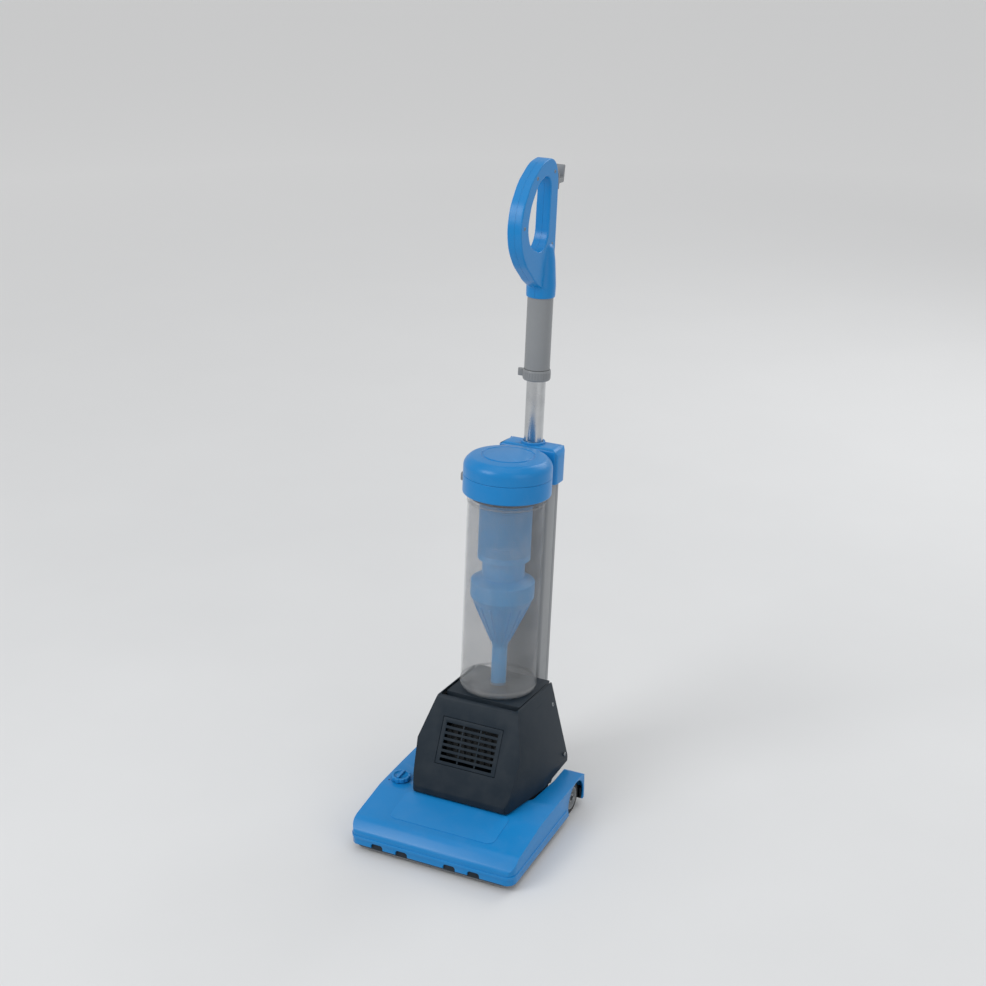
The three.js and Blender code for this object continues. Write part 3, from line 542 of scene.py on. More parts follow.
headValues = {
    "wall": 0.003, "edge": 0.004, "openFoot": 0.03, "skirtFront": 0.013, "skirt": 0.011,
    "troughHalf": 0.106, "troughRearHalf": 0.1145, "troughFront": 0.078, "troughStep": 0.002,
    "archClearance": 0.005, "archStart": 0.1192, "archEnd": 0.16, "knobStemHole": 0.006,
    "notchWidth": 0.022, "notchTop": 0.022, "notches": (-0.098, -0.052, 0.036, 0.080),
}


def headForm(name, less=0.0):
    # the cover as one block, or its inside when less is the wall: its side profile crossed with its plan
    low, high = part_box("head_cover")
    front, rear, top, half = low.y, high.y, high.z, high.x
    drop = headValues["openFoot"] if less > 0.001 else 0
    skirt = headValues["skirt"] - drop
    side = shrunk([
        (front, headValues["skirtFront"] - drop), (front + 0.02, skirt), (rear, skirt),
        (rear, top - 0.015), (rear - 0.016, top - 0.002), (rear - 0.118, top),
        (front + 0.11, top), (front + 0.024, top - 0.012), (front + 0.003, top - 0.028),
    ], less)
    plan = shrunk(oblong(-half, half, front, rear), less)
    sideRadii = [0.003, 0, 0, 0.008, 0.012, 0.2, 0.09, 0.03, 0.014]
    body = slab(name, roundOff(side, sideRadii, 8), "X", less - half, half - less)
    planOutline = roundOff(plan, [0.02, 0.02, 0.012, 0.012], 8)
    carve(body, slab("plan", planOutline, "Z", -0.04, 0.2), how="INTERSECT")
    return body if less else softenEdges(body, headValues["edge"], 4, 38)


def notchTools():
    low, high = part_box("head_cover")
    half = headValues["notchWidth"] / 2
    top = headValues["notchTop"]
    tools = []
    for x in headValues["notches"]:
        notch = roundOff(oblong(x - half, x + half, 0, top), [0, 0, 0.005, 0.005])
        tools.append(slab("notch", notch, "Y", low.y - 0.01, low.y + 0.02))
    return tools


def makeHeadCover():
    low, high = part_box("head_cover")
    wheelLow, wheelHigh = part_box("wheel_tyre_right")
    knobLow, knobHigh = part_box("height_knob")
    pedalLow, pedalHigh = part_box("release_pedal")
    cover = headForm("head_cover_shell")
    carve(cover, headForm("inside", headValues["wall"]))
    narrow, wide = headValues["troughHalf"], headValues["troughRearHalf"]
    front, step = pivot.y - headValues["troughFront"], pivot.y - headValues["troughStep"]
    back = high.y + 0.01
    corners = [(-narrow, front), (narrow, front), (wide, step), (wide, back), (-wide, back), (-wide, step)]
    trough = roundOff(corners, [0.012, 0.012, 0.02, 0, 0, 0.02])
    tools = [slab("trough", trough, "Z", -0.01, 0.2)] + notchTools()
    wheelY, wheelZ = (wheelLow.y + wheelHigh.y) / 2, (wheelLow.z + wheelHigh.z) / 2
    archRadius = (wheelHigh.z - wheelLow.z) / 2 + headValues["archClearance"]
    for side in (-1, 1):
        start = (side * headValues["archStart"], wheelY, wheelZ)
        end = (side * headValues["archEnd"], wheelY, wheelZ)
        tools.append(rod("arch", archRadius, start, end, 72))
    tools.append(block("pedal_slot", (pedalLow.x - 0.0008, pedalLow.y - 0.003, 0.03),
                       (pedalHigh.x + 0.001, high.y + 0.01, 0.07)))
    knobX, knobY = (knobLow.x + knobHigh.x) / 2, (knobLow.y + knobHigh.y) / 2
    tools.append(rod("knob_hole", headValues["knobStemHole"], (knobX, knobY, 0.04), (knobX, knobY, 0.09)))
    tools.append(block("foot_trim", (-0.2, low.y - 0.02, -0.03), (0.2, high.y + 0.02, low.z)))
    carve(cover, *tools)
    softenEdges(cover, 0.0006, 2, 50, clamp=False)
    finishPiece(cover, blue, "floor_head", "head_cover", slot="blue_plastic")


def bandRoundHead(name, grow, bury, lowZ, highZ, frontY, rearY):
    # a strip that stands proud of the cover between two heights and two places front to back
    strip = headForm(name, -grow)
    carve(strip, headForm("core", bury))
    return carve(strip, block("reach", (-0.3, frontY, lowZ), (0.3, rearY, highZ)), how="INTERSECT")


def makeGuard():
    values = {"proud": 0.0011, "buried": 0.0006, "low": 0.0245, "high": 0.0295, "edge": 0.0005,
              "endGap": 0.012}
    front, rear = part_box("head_cover")[0].y - 0.02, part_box("wheel_tyre_right")[0].y - values["endGap"]
    guard = bandRoundHead("bumper_rib", values["proud"], values["buried"], values["low"], values["high"],
                          front, rear)
    softenEdges(guard, values["edge"], 2, 50, clamp=False)
    finishPiece(guard, blue, "floor_head", slot="blue_plastic")


def makeDeckPanel():
    # a shallow raised panel on the slope in front of the hood
    values = {"proud": 0.0007, "buried": 0.0004, "half": 0.096, "front": 0.04, "back": 0.112, "corner": 0.012}
    low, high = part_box("head_cover")
    half, front, back = values["half"], low.y + values["front"], low.y + values["back"]
    panel = headForm("deck_panel", -values["proud"])
    carve(panel, headForm("core", values["buried"]))
    outline = roundOff(oblong(-half, half, front, back), values["corner"], 6)
    carve(panel, slab("reach", outline, "Z", high.z - 0.03, 0.2), how="INTERSECT")
    finishPiece(panel, blue, "floor_head", slot="blue_plastic")


def makeHeightKnob():
    values = {
        "lobes": 10, "dip": 0.0016, "edge": 0.0012, "rimSteps": 120, "dialDepth": 0.008,
        "pointerRise": 0.0025, "pointerHalfWidth": 0.0022, "pointerHalfLength": 0.0128, "stem": 0.005,
        "camTop": 0.0335,
        "marks": 4, "markRing": 0.0205, "markLow": 0.0625, "markHigh": 0.0653,
    }
    low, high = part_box("height_knob")
    x, y = (low.x + high.x) / 2, (low.y + high.y) / 2
    radius = (high.x - low.x) / 2
    top = high.z - values["pointerRise"]
    rim = []
    for i in range(values["rimSteps"]):
        angle = 2 * math.pi * i / values["rimSteps"]
        reach = radius - values["dip"] * max(0.0, math.cos(values["lobes"] * angle)) ** 2
        rim.append((x + reach * math.cos(angle), y + reach * math.sin(angle)))
    dial = slab("height_dial", rim, "Z", top - values["dialDepth"], top)
    softenEdges(dial, values["edge"], 3, 50)
    dish = [(0, top - 0.0012), (0.0125, top - 0.0012), (0.0135, top + 0.01), (0, top + 0.01)]
    carve(dial, turned("dish", dish, 60, centre=(x, y, 0)))
    wide, long = values["pointerHalfWidth"], values["pointerHalfLength"]
    pointer = roundOff(oblong(x - wide, x + wide, y - long, y + long), 0.0019)
    handle = softenEdges(slab("height_pointer", pointer, "Z", top - 0.002, high.z), 0.0008, 3, 50)
    stem = rod("height_stem", values["stem"], (x, y, low.z + 0.012), (x, y, top - 0.004))
    cam = fromCad("height_knob", 0.0003)
    carve(cam, block("upper", (x - 0.03, y - 0.03, values["camTop"]), (x + 0.03, y + 0.03, 0.1)))
    joinPieces(dial, handle, stem, cam)
    finishPiece(dial, blue, "knob", "height_knob", slot="blue_plastic")
    for i in range(values["marks"]):
        # the marks grow with the height they stand for
        angle = math.radians(90 + 40 * i)
        markX, markY = x + values["markRing"] * math.cos(angle), y + values["markRing"] * math.sin(angle)
        mark = rod("height_mark", 0.0006 + 0.0003 * i, (markX, markY, values["markLow"]),
                   (markX, markY, values["markHigh"]), 24)
        finishPiece(mark, black, "floor_head", slot="dark_plastic")


def makePedal():
    values = {"ribs": 5, "inset": 0.003, "halfWidth": 0.0009, "height": 0.0024, "edge": 0.0005,
              "firstBack": 0.005, "pitch": 0.0045, "firstHeight": 0.0412, "rise": 0.0013}
    low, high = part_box("release_pedal")
    pedal = fromCad("release_pedal", 0.0008, 3)
    ribs = []
    for i in range(values["ribs"]):
        y = high.y - values["firstBack"] - values["pitch"] * i
        z = values["firstHeight"] + values["rise"] * i
        ribs.append(block("rib", (low.x + values["inset"], y - values["halfWidth"], z),
                          (high.x - values["inset"], y + values["halfWidth"], z + values["height"]),
                          values["edge"]))
    joinPieces(pedal, *ribs)
    finishPiece(pedal, black, "pedal", "release_pedal", slot="dark_plastic")


def makeBrushRoll():
    values = {"tufts": 46, "turns": 0.75, "strips": 2, "start": -0.115, "length": 0.201, "rowGap": 0.0016,
              "reach": 0.0151, "tuftRoot": 0.0013, "tuftTip": 0.0022, "tuftLength": 0.0095}
    low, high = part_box("brush_roll")
    middle = (low + high) / 2
    roll = turned("brush_core", [
        (0, low.x), (0.004, low.x), (0.004, -0.124), (0.0115, -0.124), (0.0115, 0.0915), (0.014, 0.092),
        (0.014, 0.096), (0.012, 0.096), (0.012, 0.106), (0.014, 0.106), (0.014, 0.11), (0.004, 0.111),
        (0.004, high.x), (0, high.x),
    ], 64, "X", (0, middle.y, middle.z))
    finishPiece(roll, black, "brush", "brush_roll", slot="dark_plastic")
    clearSelection()
    bpy.ops.mesh.primitive_cone_add(radius1=values["tuftRoot"], radius2=values["tuftTip"],
                                    depth=values["tuftLength"], vertices=7)
    tuft = bpy.context.active_object
    tuft.name = "bristles"
    bpy.ops.object.transform_apply(location=True, rotation=True, scale=True)
    copies = []
    for strip in range(values["strips"]):
        for i in range(values["tufts"]):
            share = i / (values["tufts"] - 1)
            angle = math.pi * strip + share * values["turns"] * 2 * math.pi
            x = values["start"] + values["length"] * share
            place = Matrix.Translation((x, middle.y, middle.z)) @ Matrix.Rotation(angle, 4, "X")
            for across in (-values["rowGap"], values["rowGap"]):
                copy = duplicate(tuft, "bristles")
                copies.append(movePiece(copy, place @ Matrix.Translation((0, across, values["reach"]))))
    bpy.data.objects.remove(tuft)
    bristles = joinPieces(*copies)
    finishPiece(bristles, fibre, "brush", slot="bristle")


def makeSolePlate():
    values = {"screw": 0.0034, "plateScrews": (-0.132, 0.132), "trayScrews": (-0.126, -0.04, 0.04, 0.126),
              "trayScrewFront": 0.045}
    plate = fromCad("sole_plate", 0.0005)
    finishPiece(plate, steel, "floor_head", "sole_plate", slot="steel")
    low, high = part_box("sole_plate")
    for x in values["plateScrews"]:
        for y in (low.y + 0.016, high.y - 0.012):
            addScrew((x, y, low.z), (0, 0, -1), "floor_head", values["screw"], proud=0.0004)
    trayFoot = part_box("chassis")[0].z
    for x in values["trayScrews"]:
        addScrew((x, pivot.y - values["trayScrewFront"], trayFoot), (0, 0, -1), "floor_head", values["screw"])


screwValues = {"height": 0.0016, "slot": 0.0008, "depth": 0.0011, "arm": 0.62, "sunk": 0.0006}


def addScrew(place, direction, body, radius, proud=0.0012, lean=False):
    # a domed head with a cross recess, looking along direction
    height, slot, depth = screwValues["height"], screwValues["slot"], screwValues["depth"]
    foot = proud - height - screwValues["sunk"]
    head = turned("screw_head", [(0, foot), (radius * 0.96, foot), (radius, proud - height * 0.7),
                                 (radius * 0.86, proud - height * 0.2), (radius * 0.5, proud - 0.0001),
                                 (0, proud)], 32)
    arm = radius * screwValues["arm"]
    carve(head, block("cross", (-arm, -slot / 2, proud - depth), (arm, slot / 2, proud + 0.001)),
          block("cross", (-slot / 2, -arm, proud - depth), (slot / 2, arm, proud + 0.001)))
    facing = Vector(direction).to_track_quat("Z", "Y").to_matrix().to_4x4()
    movePiece(head, Matrix.Translation(place) @ facing)
    if lean:
        leanBack(head)
    return finishPiece(head, steel, body, slot="steel")


makeHeadCover()
makeGuard()
makeDeckPanel()
makeHeightKnob()
makePedal()
makeBrushRoll()
makeSolePlate()
print("floor head done")

# Wheels and rollers

wheelValues = {"shoulder": 0.004, "treadGap": 0.0007, "treadDepth": 0.0012, "axleBore": 0.0043,
               "windows": 6, "window": 0.0032, "windowRing": 0.0125}
rollerValues = {"shoulder": 0.003, "axleBore": 0.0028}


def makeWheel(side):
    name = "right" if side > 0 else "left"
    low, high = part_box("wheel_tyre_" + name)
    hubLow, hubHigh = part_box("wheel_hub_" + name)
    middle = (low + high) / 2
    half, radius, hub = (high.x - low.x) / 2, (high.z - low.z) / 2, (hubHigh.z - hubLow.z) / 2
    shoulder = wheelValues["shoulder"]
    bore = hub + 0.0003
    section = roundOff(oblong(bore, radius, -half, half), [0, shoulder, shoulder, 0], 6)
    tyre = turned("wheel_tread_" + name, section, 60, "X", middle)
    editMode(tyre)
    pick("FACE", lambda face: (Vector(face.calc_center_median()) - middle).yz.length > radius * 0.985)
    bpy.ops.mesh.inset(thickness=wheelValues["treadGap"], use_individual=True)
    bpy.ops.transform.shrink_fatten(value=-wheelValues["treadDepth"])
    objectMode()
    finishPiece(tyre, rubber, "wheel_" + name, "wheel_tyre_" + name, slot="rubber")
    out, axle = side * half, wheelValues["axleBore"]
    face = [(axle, -out), (hub, -out), (hub, out), (hub - 0.0025, out), (hub - 0.004, out * 0.5),
            (0.0085, out * 0.5), (0.0075, out * 0.92), (axle, out * 0.92)]
    disc = turned("wheel_centre_" + name, face, 60, "X", middle)
    ends = [middle + Vector((x, wheelValues["windowRing"], 0)) for x in (-0.05, 0.05)]
    window = rod("window", wheelValues["window"], *ends, 24)
    carve(disc, ringOf(window, wheelValues["windows"], "X", middle))
    softenEdges(disc, 0.0005, 2, 45, clamp=False)
    finishPiece(disc, grey, "wheel_" + name, "wheel_hub_" + name, slot="grey_plastic")


def makeRoller(name):
    low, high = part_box("front_roller_" + name)
    middle, half, radius = (low + high) / 2, (high.x - low.x) / 2, (high.z - low.z) / 2
    bore, shoulder = rollerValues["axleBore"], rollerValues["shoulder"]
    section = roundOff(oblong(bore, radius, -half, half), [0, shoulder, shoulder, 0], 5)
    roller = turned("roller_" + name, section, 48, "X", middle)
    finishPiece(roller, rubber, "roller_" + name, "front_roller_" + name, slot="rubber")


for side in (-1, 1):
    makeWheel(side)
for name in ("left", "right"):
    makeRoller(name)
print("wheels done")

# Motor hood and grille

hoodValues = {
    "wall": 0.003, "edge": 0.0045, "half": 0.112, "topHalf": 0.074, "frontHalf": 0.088, "back": 0.06,
    "top": 0.152, "foot": (-0.14, 0.002), "head": (-0.08, 0.152),
    "openHalf": 0.071, "openFront": -0.077, "backOpenHalf": 0.073, "screw": 0.0036,
}


def hoodForm(name, less=0.0):
    # the hood as one block, or its inside when less is the wall: three outlines crossed with each other
    half, topHalf, frontHalf = hoodValues["half"], hoodValues["topHalf"], hoodValues["frontHalf"]
    back, top = hoodValues["back"], hoodValues["top"]
    side = shrunk([(-0.14, -0.01), (back, 0.0092), (back, top), hoodValues["head"], hoodValues["foot"]], less)
    front = shrunk([(-half, -0.03), (half, -0.03), (half, 0.02), (topHalf, top), (-topHalf, top),
                    (-half, 0.02)], less)
    plan = shrunk([(-frontHalf, -0.142), (frontHalf, -0.142), (half, -0.04), (half, 0.066), (-half, 0.066),
                   (-half, -0.04)], less)
    body = slab(name, roundOff(side, [0.003, 0.003, 0.003, 0.014, 0.01], 8), "X", -0.12, 0.12)
    carve(body, slab("front", roundOff(front, [0, 0, 0.02, 0.006, 0.006, 0.02], 8), "Y", -0.16, 0.08),
          slab("plan", roundOff(plan, [0.016, 0.016, 0.02, 0.004, 0.004, 0.02], 8), "Z", -0.04, 0.2),
          how="INTERSECT")
    return body if less else softenEdges(body, hoodValues["edge"], 4, 30)


def slopeSlab(name, half, low, high, top, bottom):
    # a flat panel on the hood's front slope, between two shares of its length
    foot, head = Vector(hoodValues["foot"]), Vector(hoodValues["head"])
    out = Vector((foot.y - head.y, head.x - foot.x)).normalized()
    start, end = foot.lerp(head, low), foot.lerp(head, high)
    corners = [start + out * bottom, end + out * bottom, end + out * top, start + out * top]
    return slab(name, [tuple(corner) for corner in corners], "X", -half, half)


def makeHood():
    hood = hoodForm("motor_hood_shell")
    carve(hood, hoodForm("inside", hoodValues["wall"]))
    foot = [(-0.16, -0.05), (0.09, -0.05), (0.09, 0.0128), (-0.16, -0.0112)]
    topHalf, backHalf, front = hoodValues["openHalf"], hoodValues["backOpenHalf"], hoodValues["openFront"]
    carve(hood, slab("foot", foot, "X", -0.13, 0.13),
          block("open_top", (-topHalf, front, 0.145), (topHalf, 0.08, 0.17), 0.003),
          block("open_back", (-backHalf, 0.05, -0.01), (backHalf, 0.08, 0.2)),
          slopeSlab("grille_opening", 0.056, 0.28, 0.78, 0.01, -0.012))
    softenEdges(hood, 0.0006, 2, 50, clamp=False)
    leanBack(hood)
    finishPiece(hood, navy, "upright", "motor_hood", slot="dark_plastic")
    for side in (-1, 1):
        for x, height, tilt in ((0.1118, 0.028, 0.02), (0.0842, 0.116, 0.288)):
            addScrew((side * x, 0.047, height), (side, 0, tilt), "upright", hoodValues["screw"], lean=True)


def makeGrille():
    # starts, pitch and gap are shares of the slope's length
    values = {"half": 0.0555, "slotHalf": 0.048, "slots": 7, "start": 0.318, "pitch": 0.062, "gap": 0.034,
              "bars": (-0.016, 0.016), "barHalf": 0.0011}
    frameSlab = slopeSlab("exhaust_grille_panel", values["half"], 0.284, 0.776, -0.0002, -0.0034)
    softenEdges(frameSlab, 0.001, 3)
    tools = []
    for i in range(values["slots"]):
        start = values["start"] + i * values["pitch"]
        tools.append(slopeSlab("slot", values["slotHalf"], start, start + values["gap"], 0.01, -0.02))
    carve(frameSlab, *tools)
    for x in values["bars"]:
        bar = slopeSlab("bar", values["barHalf"], 0.30, 0.76, -0.0012, -0.0036)
        joinPieces(frameSlab, movePiece(bar, Matrix.Translation((x, 0, 0))))
    softenEdges(frameSlab, 0.0004, 2, 50, clamp=False)
    leanBack(frameSlab)
    finishPiece(frameSlab, navy, "upright", "exhaust_grille", slot="dark_plastic")


makeHood()
makeGrille()
print("motor hood done")

# Dust bin and cyclone

binValues = {
    "radius": 0.065, "wall": 0.0022, "base": 0.0026, "floor": 0.1526, "top": 0.5, "seat": 0.019,
    "seatWall": 0.0025, "seatTop": 0.01, "inlet": 0.0125, "inletAcross": -0.026, "inletHeight": 0.445,
    "bands": (0.163, 0.4885), "bandHalf": 0.002, "bandProud": 0.0011,
    "capRadius": 0.074, "capBore": 0.034, "split": 0.532, "lidTop": 0.566,
}


def makeBinCup():
    radius, floor, top = binValues["radius"], binValues["floor"], binValues["top"]
    inner, base = radius - binValues["wall"], floor + binValues["base"]
    seat, seatTop = binValues["seat"], floor + binValues["seatTop"]
    seatBore = seat - binValues["seatWall"]
    profile = roundOff([(0, floor), (radius, floor), (radius, top), (inner, top), (inner, base),
                        (seat, base), (seat, seatTop), (seatBore, seatTop), (seatBore, base), (0, base)],
                       [0, 0.006, 0.0006, 0.0006, 0.004, 0.001, 0.0008, 0.0008, 0, 0], 6)
    cup = turned("bin_cup_clear", profile, 144)
    inlet = [(binValues["inletAcross"], b, binValues["inletHeight"]) for b in (0.03, 0.08)]
    carve(cup, rod("inlet", binValues["inlet"], *inlet))
    leanBack(cup)
    finishPiece(cup, smoky, "bin", "bin_cup", slot="clear_plastic", smooth=30)
    near, far = radius + 0.0001, radius + binValues["bandProud"]
    for height in binValues["bands"]:
        low, high = height - binValues["bandHalf"], height + binValues["bandHalf"]
        section = roundOff(oblong(near, far, low, high), [0, 0.0009, 0.0009, 0])
        band = turned("bin_band", section, 144)
        leanBack(band)
        finishPiece(band, smoky, "bin", slot="clear_plastic")
    gasket = fromCad("bin_gasket", 0.0004)
    finishPiece(gasket, rubber, "bin", "bin_gasket", slot="rubber")


def makeShroud():
    # a turned screen whose cells are opened one by one, but for the rim rows
    values = {"radius": 0.0435, "wall": 0.0016, "rows": 34, "around": 96, "rim": 3, "strand": 0.00075,
              "low": 0.386, "high": 0.4998}
    low, high = values["low"], values["high"]
    step = (high - low) / values["rows"]
    line = [(values["radius"], low + step * i) for i in range(values["rows"] + 1)]
    shroud = turned("cyclone_screen", line, values["around"], closed=False)
    editMode(shroud)
    band = (low + step * values["rim"], high - step * values["rim"])
    pick("FACE", lambda face: band[0] < face.calc_center_median().z < band[1])
    bpy.ops.mesh.inset(thickness=values["strand"], use_individual=True)
    bpy.ops.mesh.delete(type="FACE")
    objectMode()
    applied(shroud, "SOLIDIFY", thickness=values["wall"], offset=0)
    leanBack(shroud)
    finishPiece(shroud, cyclone, "separator", "cyclone_shroud", slot="blue_plastic")


def makeCone():
    values = {"fins": 16, "finHalf": 0.0008}
    profile = roundOff([
        (0.034, 0.3856), (0.034, 0.3525), (0.052, 0.3445), (0.052, 0.319), (0.045, 0.307), (0.014, 0.237),
        (0.011, 0.227), (0.011, 0.156), (0.013, 0.156), (0.013, 0.226), (0.016, 0.236), (0.047, 0.306),
        (0.054, 0.318), (0.054, 0.346), (0.036, 0.354), (0.036, 0.3856),
    ], [0, 0.004, 0.003, 0.006, 0.01, 0.02, 0.02, 0, 0, 0.02, 0.02, 0.01, 0.006, 0.003, 0.004, 0], 6)
    cone = turned("cyclone_funnel", profile, 120)
    finSide = [(0.0135, 0.24), (0.0175, 0.2365), (0.0485, 0.3045), (0.0465, 0.309)]
    fin = slab("fin", finSide, "Y", -values["finHalf"], values["finHalf"])
    joinPieces(cone, ringOf(fin, values["fins"], "Z", (0, 0, 0)))
    leanBack(cone)
    finishPiece(cone, cyclone, "separator", "cyclone_cone", slot="blue_plastic")


def makeCap():
    values = {"wall": 0.004, "base": 0.003, "button": (0.011, 0.5095, 0.5245), "buttonGap": 0.0005,
              "ridges": (0.5135, 0.5165, 0.5195), "ridgeHeight": 0.001}
    radius, split, top = binValues["capRadius"], binValues["split"], binValues["lidTop"]
    floor, bore = binValues["top"] + 0.0003, binValues["capBore"]
    inner, base = radius - values["wall"], floor + values["base"]
    ring = turned("cap_ring_body", roundOff([
        (bore, floor), (radius, floor), (radius, split), (inner, split), (inner, base), (bore, base),
    ], [0, 0.003, 0.0008, 0.0008, 0.002, 0], 6), 144)
    half, low, high = values["button"]
    gap = values["buttonGap"]
    button = roundOff(oblong(-half - gap, half + gap, low - gap, high + gap), 0.0045, 6)
    carve(ring, slab("button_opening", button, "X", -0.09, -0.06),
          block("air_slot", (0.022, 0.05, 0.511), (0.0375, 0.09, 0.525)))
    leanBack(ring)
    finishPiece(ring, blue, "separator", "cap_ring", slot="blue_plastic")
    lid = turned("bin_lid_dome", roundOff([
        (0, top - 0.004), (0.053, top - 0.0075), (radius - 0.0035, 0.549), (radius - 0.0035, split + 0.0003),
        (radius, split + 0.0003), (radius, top - 0.013), (0.0635, top - 0.0025), (0.046, top - 0.0006),
        (0.0445, top - 0.0018), (0.0425, top - 0.0018), (0.041, top), (0, top),
    ], [0, 0.01, 0.006, 0.0005, 0.0008, 0.016, 0.012, 0.0006, 0.0003, 0.0003, 0.0006, 0], 7), 144)
    leanBack(lid)
    finishPiece(lid, blue, "lid", "bin_lid", slot="blue_plastic")
    face = roundOff(oblong(-half, half, low, high), 0.004, 6)
    push = softenEdges(slab("release_button", face, "X", -0.081, -0.067), 0.0012, 3, 50)
    ridges = [block("ridge", (-0.0816, -0.006, z), (-0.0805, 0.006, z + values["ridgeHeight"]), 0.0003)
              for z in values["ridges"]]
    joinPieces(push, *ridges)
    leanBack(push)
    finishPiece(push, grey, "button", "bin_button", slot="grey_plastic")


makeBinCup()
makeShroud()
makeCone()
makeCap()
print("bin done")

# Rear block and spine

def makeRearCap():
    values = {"half": 0.055, "front": 0.075, "back": 0.125, "low": 0.5003, "top": 0.562, "tube": 0.099,
              "socket": 0.0163, "screws": (-0.042, 0.042)}
    half, near, back, low, top = (values[key] for key in ("half", "front", "back", "low", "top"))
    tube, bore = values["tube"], values["socket"]
    plan = roundOff(oblong(-half, half, near, back), [0.008, 0.008, 0.022, 0.022], 10)
    side = roundOff(oblong(near, back, low, top), [0, 0.004, 0.016, 0.008], 10)
    front = roundOff(oblong(-half, half, low - 0.001, top), [0, 0, 0.016, 0.016], 10)
    cap = slab("rear_cap_block", plan, "Z", low, 0.6)
    carve(cap, slab("side", side, "X", -0.06, 0.06), slab("front", front, "Y", 0.02, 0.14), how="INTERSECT")
    carve(cap, block("air_slot", (0.022, 0.06, 0.511), (0.0395, 0.082, 0.525)),
          rod("socket", bore, (0, tube, 0.5), (0, tube, 0.6), 72))
    softenEdges(cap, 0.0016, 3, 40, clamp=False)
    section = roundOff(oblong(bore, 0.019, 0.477, 0.5035), [0, 0.001, 0, 0])
    barrel = turned("tube_socket", section, 72, centre=(0, tube, 0))
    section = roundOff(oblong(bore, 0.0205, 0.558, 0.5655), [0, 0, 0.0012, 0.0008])
    joinPieces(cap, barrel, turned("tube_collar", section, 72, centre=(0, tube, 0)))
    leanBack(cap)
    finishPiece(cap, blue, "upright", "rear_cap", slot="blue_plastic")
    for x in values["screws"]:
        addScrew((x, 0.1245, 0.518), (0, 1, 0), "upright", 0.0034, lean=True)


def makeSpine():
    values = {"screwHeights": (0.2, 0.26, 0.4, 0.48), "screwAcross": (-0.024, 0.024), "screwBack": 0.1217}
    housing = fromCad("spine_housing", 0.0008)
    finishPiece(housing, grey, "upright", "spine_housing", slot="grey_plastic")
    cover = fromCad("spine_cover", 0.0012, 3)
    finishPiece(cover, grey, "upright", "spine_cover", slot="grey_plastic")
    for height in values["screwHeights"]:
        for x in values["screwAcross"]:
            addScrew((x, values["screwBack"], height), (0, 1, 0), "upright", 0.0034, lean=True)


makeRearCap()
makeSpine()
print("spine done")

# Tube, sleeve and collar

tubeValues = {"back": 0.099, "radius": 0.016, "wall": 0.0016, "foot": 0.4775, "top": 0.79, "gap": 0.0003,
              "sleeve": 0.0215, "sleeveFoot": 0.6903, "sleeveTop": 0.835, "collarFoot": 0.672, "neck": 0.0187}


def makeTube():
    centre = (0, tubeValues["back"], 0)
    radius, foot, top = tubeValues["radius"], tubeValues["foot"], tubeValues["top"]
    inner = radius - tubeValues["wall"]
    section = roundOff(oblong(inner, radius, foot, top), 0.0004)
    tube = turned("handle_tube", section, 96, centre=centre)
    leanBack(tube)
    finishPiece(tube, plated, "upright", "lower_tube", slot="bright_metal")
    bore, neck, outer = radius + tubeValues["gap"], tubeValues["neck"], tubeValues["sleeve"]
    low, step, high = tubeValues["collarFoot"], tubeValues["sleeveFoot"], tubeValues["sleeveTop"]
    section = roundOff([(bore, low), (neck, low), (neck, step), (outer, step), (outer, high), (bore, high)],
                       [0, 0.0004, 0, 0.0012, 0, 0])
    sleeve = turned("handle_sleeve_tube", section, 96, centre=centre)
    leanBack(sleeve)
    finishPiece(sleeve, grey, "handle", "handle_sleeve", slot="grey_plastic")


def makeCollar():
    values = {"grips": 30, "grip": 0.0007, "ear": 0.034, "earHalf": 0.004}
    back, foot = tubeValues["back"], tubeValues["collarFoot"]
    bore = tubeValues["neck"] + tubeValues["gap"]
    ring = turned("collar_ring", roundOff([
        (bore, foot), (0.0222, foot), (0.0235, foot + 0.003), (0.0235, 0.687), (0.0225, 0.69), (bore, 0.69),
    ], [0.0004, 0.001, 0.0008, 0.0008, 0.0006, 0.0004]), 120, centre=(0, back, 0))
    groove = rod("groove", values["grip"], (0.0237, back, foot + 0.0045), (0.0237, back, 0.686), 12)
    carve(ring, ringOf(groove, values["grips"], "Z", (0, back, 0)))
    end, front, rear = -values["ear"], back - values["earHalf"], back + values["earHalf"]
    ear = roundOff(oblong(end, -0.018, front, rear), [0.0038, 0, 0, 0.0038], 8)
    tab = slab("collar_ear", ear, "Z", 0.675, 0.687)
    carve(tab, rod("bore", bore + 0.0005, (0, back, 0.66), (0, back, 0.7), 96))
    softenEdges(tab, 0.0012, 3, 40)
    carve(ring, tab, how="UNION")
    leanBack(ring)
    finishPiece(ring, grey, "collar", "lock_collar", slot="grey_plastic")


makeTube()
makeCollar()
print("tube done")

# Loop handle

gripValues = {
    "outer": [(0.084, 0.826), (0.112, 0.85), (0.121, 0.88), (0.121, 1.008), (0.11, 1.032), (0.09, 1.042),
              (0.054, 1.036), (0.014, 1.01), (-0.012, 0.974), (-0.02, 0.938), (-0.012, 0.904), (0.01, 0.876),
              (0.048, 0.846)],
    "hole": [(0.066, 0.89), (0.09, 0.91), (0.092, 1.002), (0.076, 1.016), (0.044, 1.006), (0.018, 0.972),
             (0.008, 0.938), (0.02, 0.906)],
    "halfThickness": 0.0125, "edge": 0.0095, "grain": 0.0011, "seam": 0.00015, "smoothing": 10,
    "tubeGap": 0.0006, "tubeBoreTop": 0.8915, "switchHalf": (0.0084, 0.0127), "gland": (0.0046, 0.829),
    "hookPin": (0.0033, 1.0), "screws": ((0.106, 0.9), (0.104, 1.018), (-0.006, 0.94), (0.036, 1.014)),
}


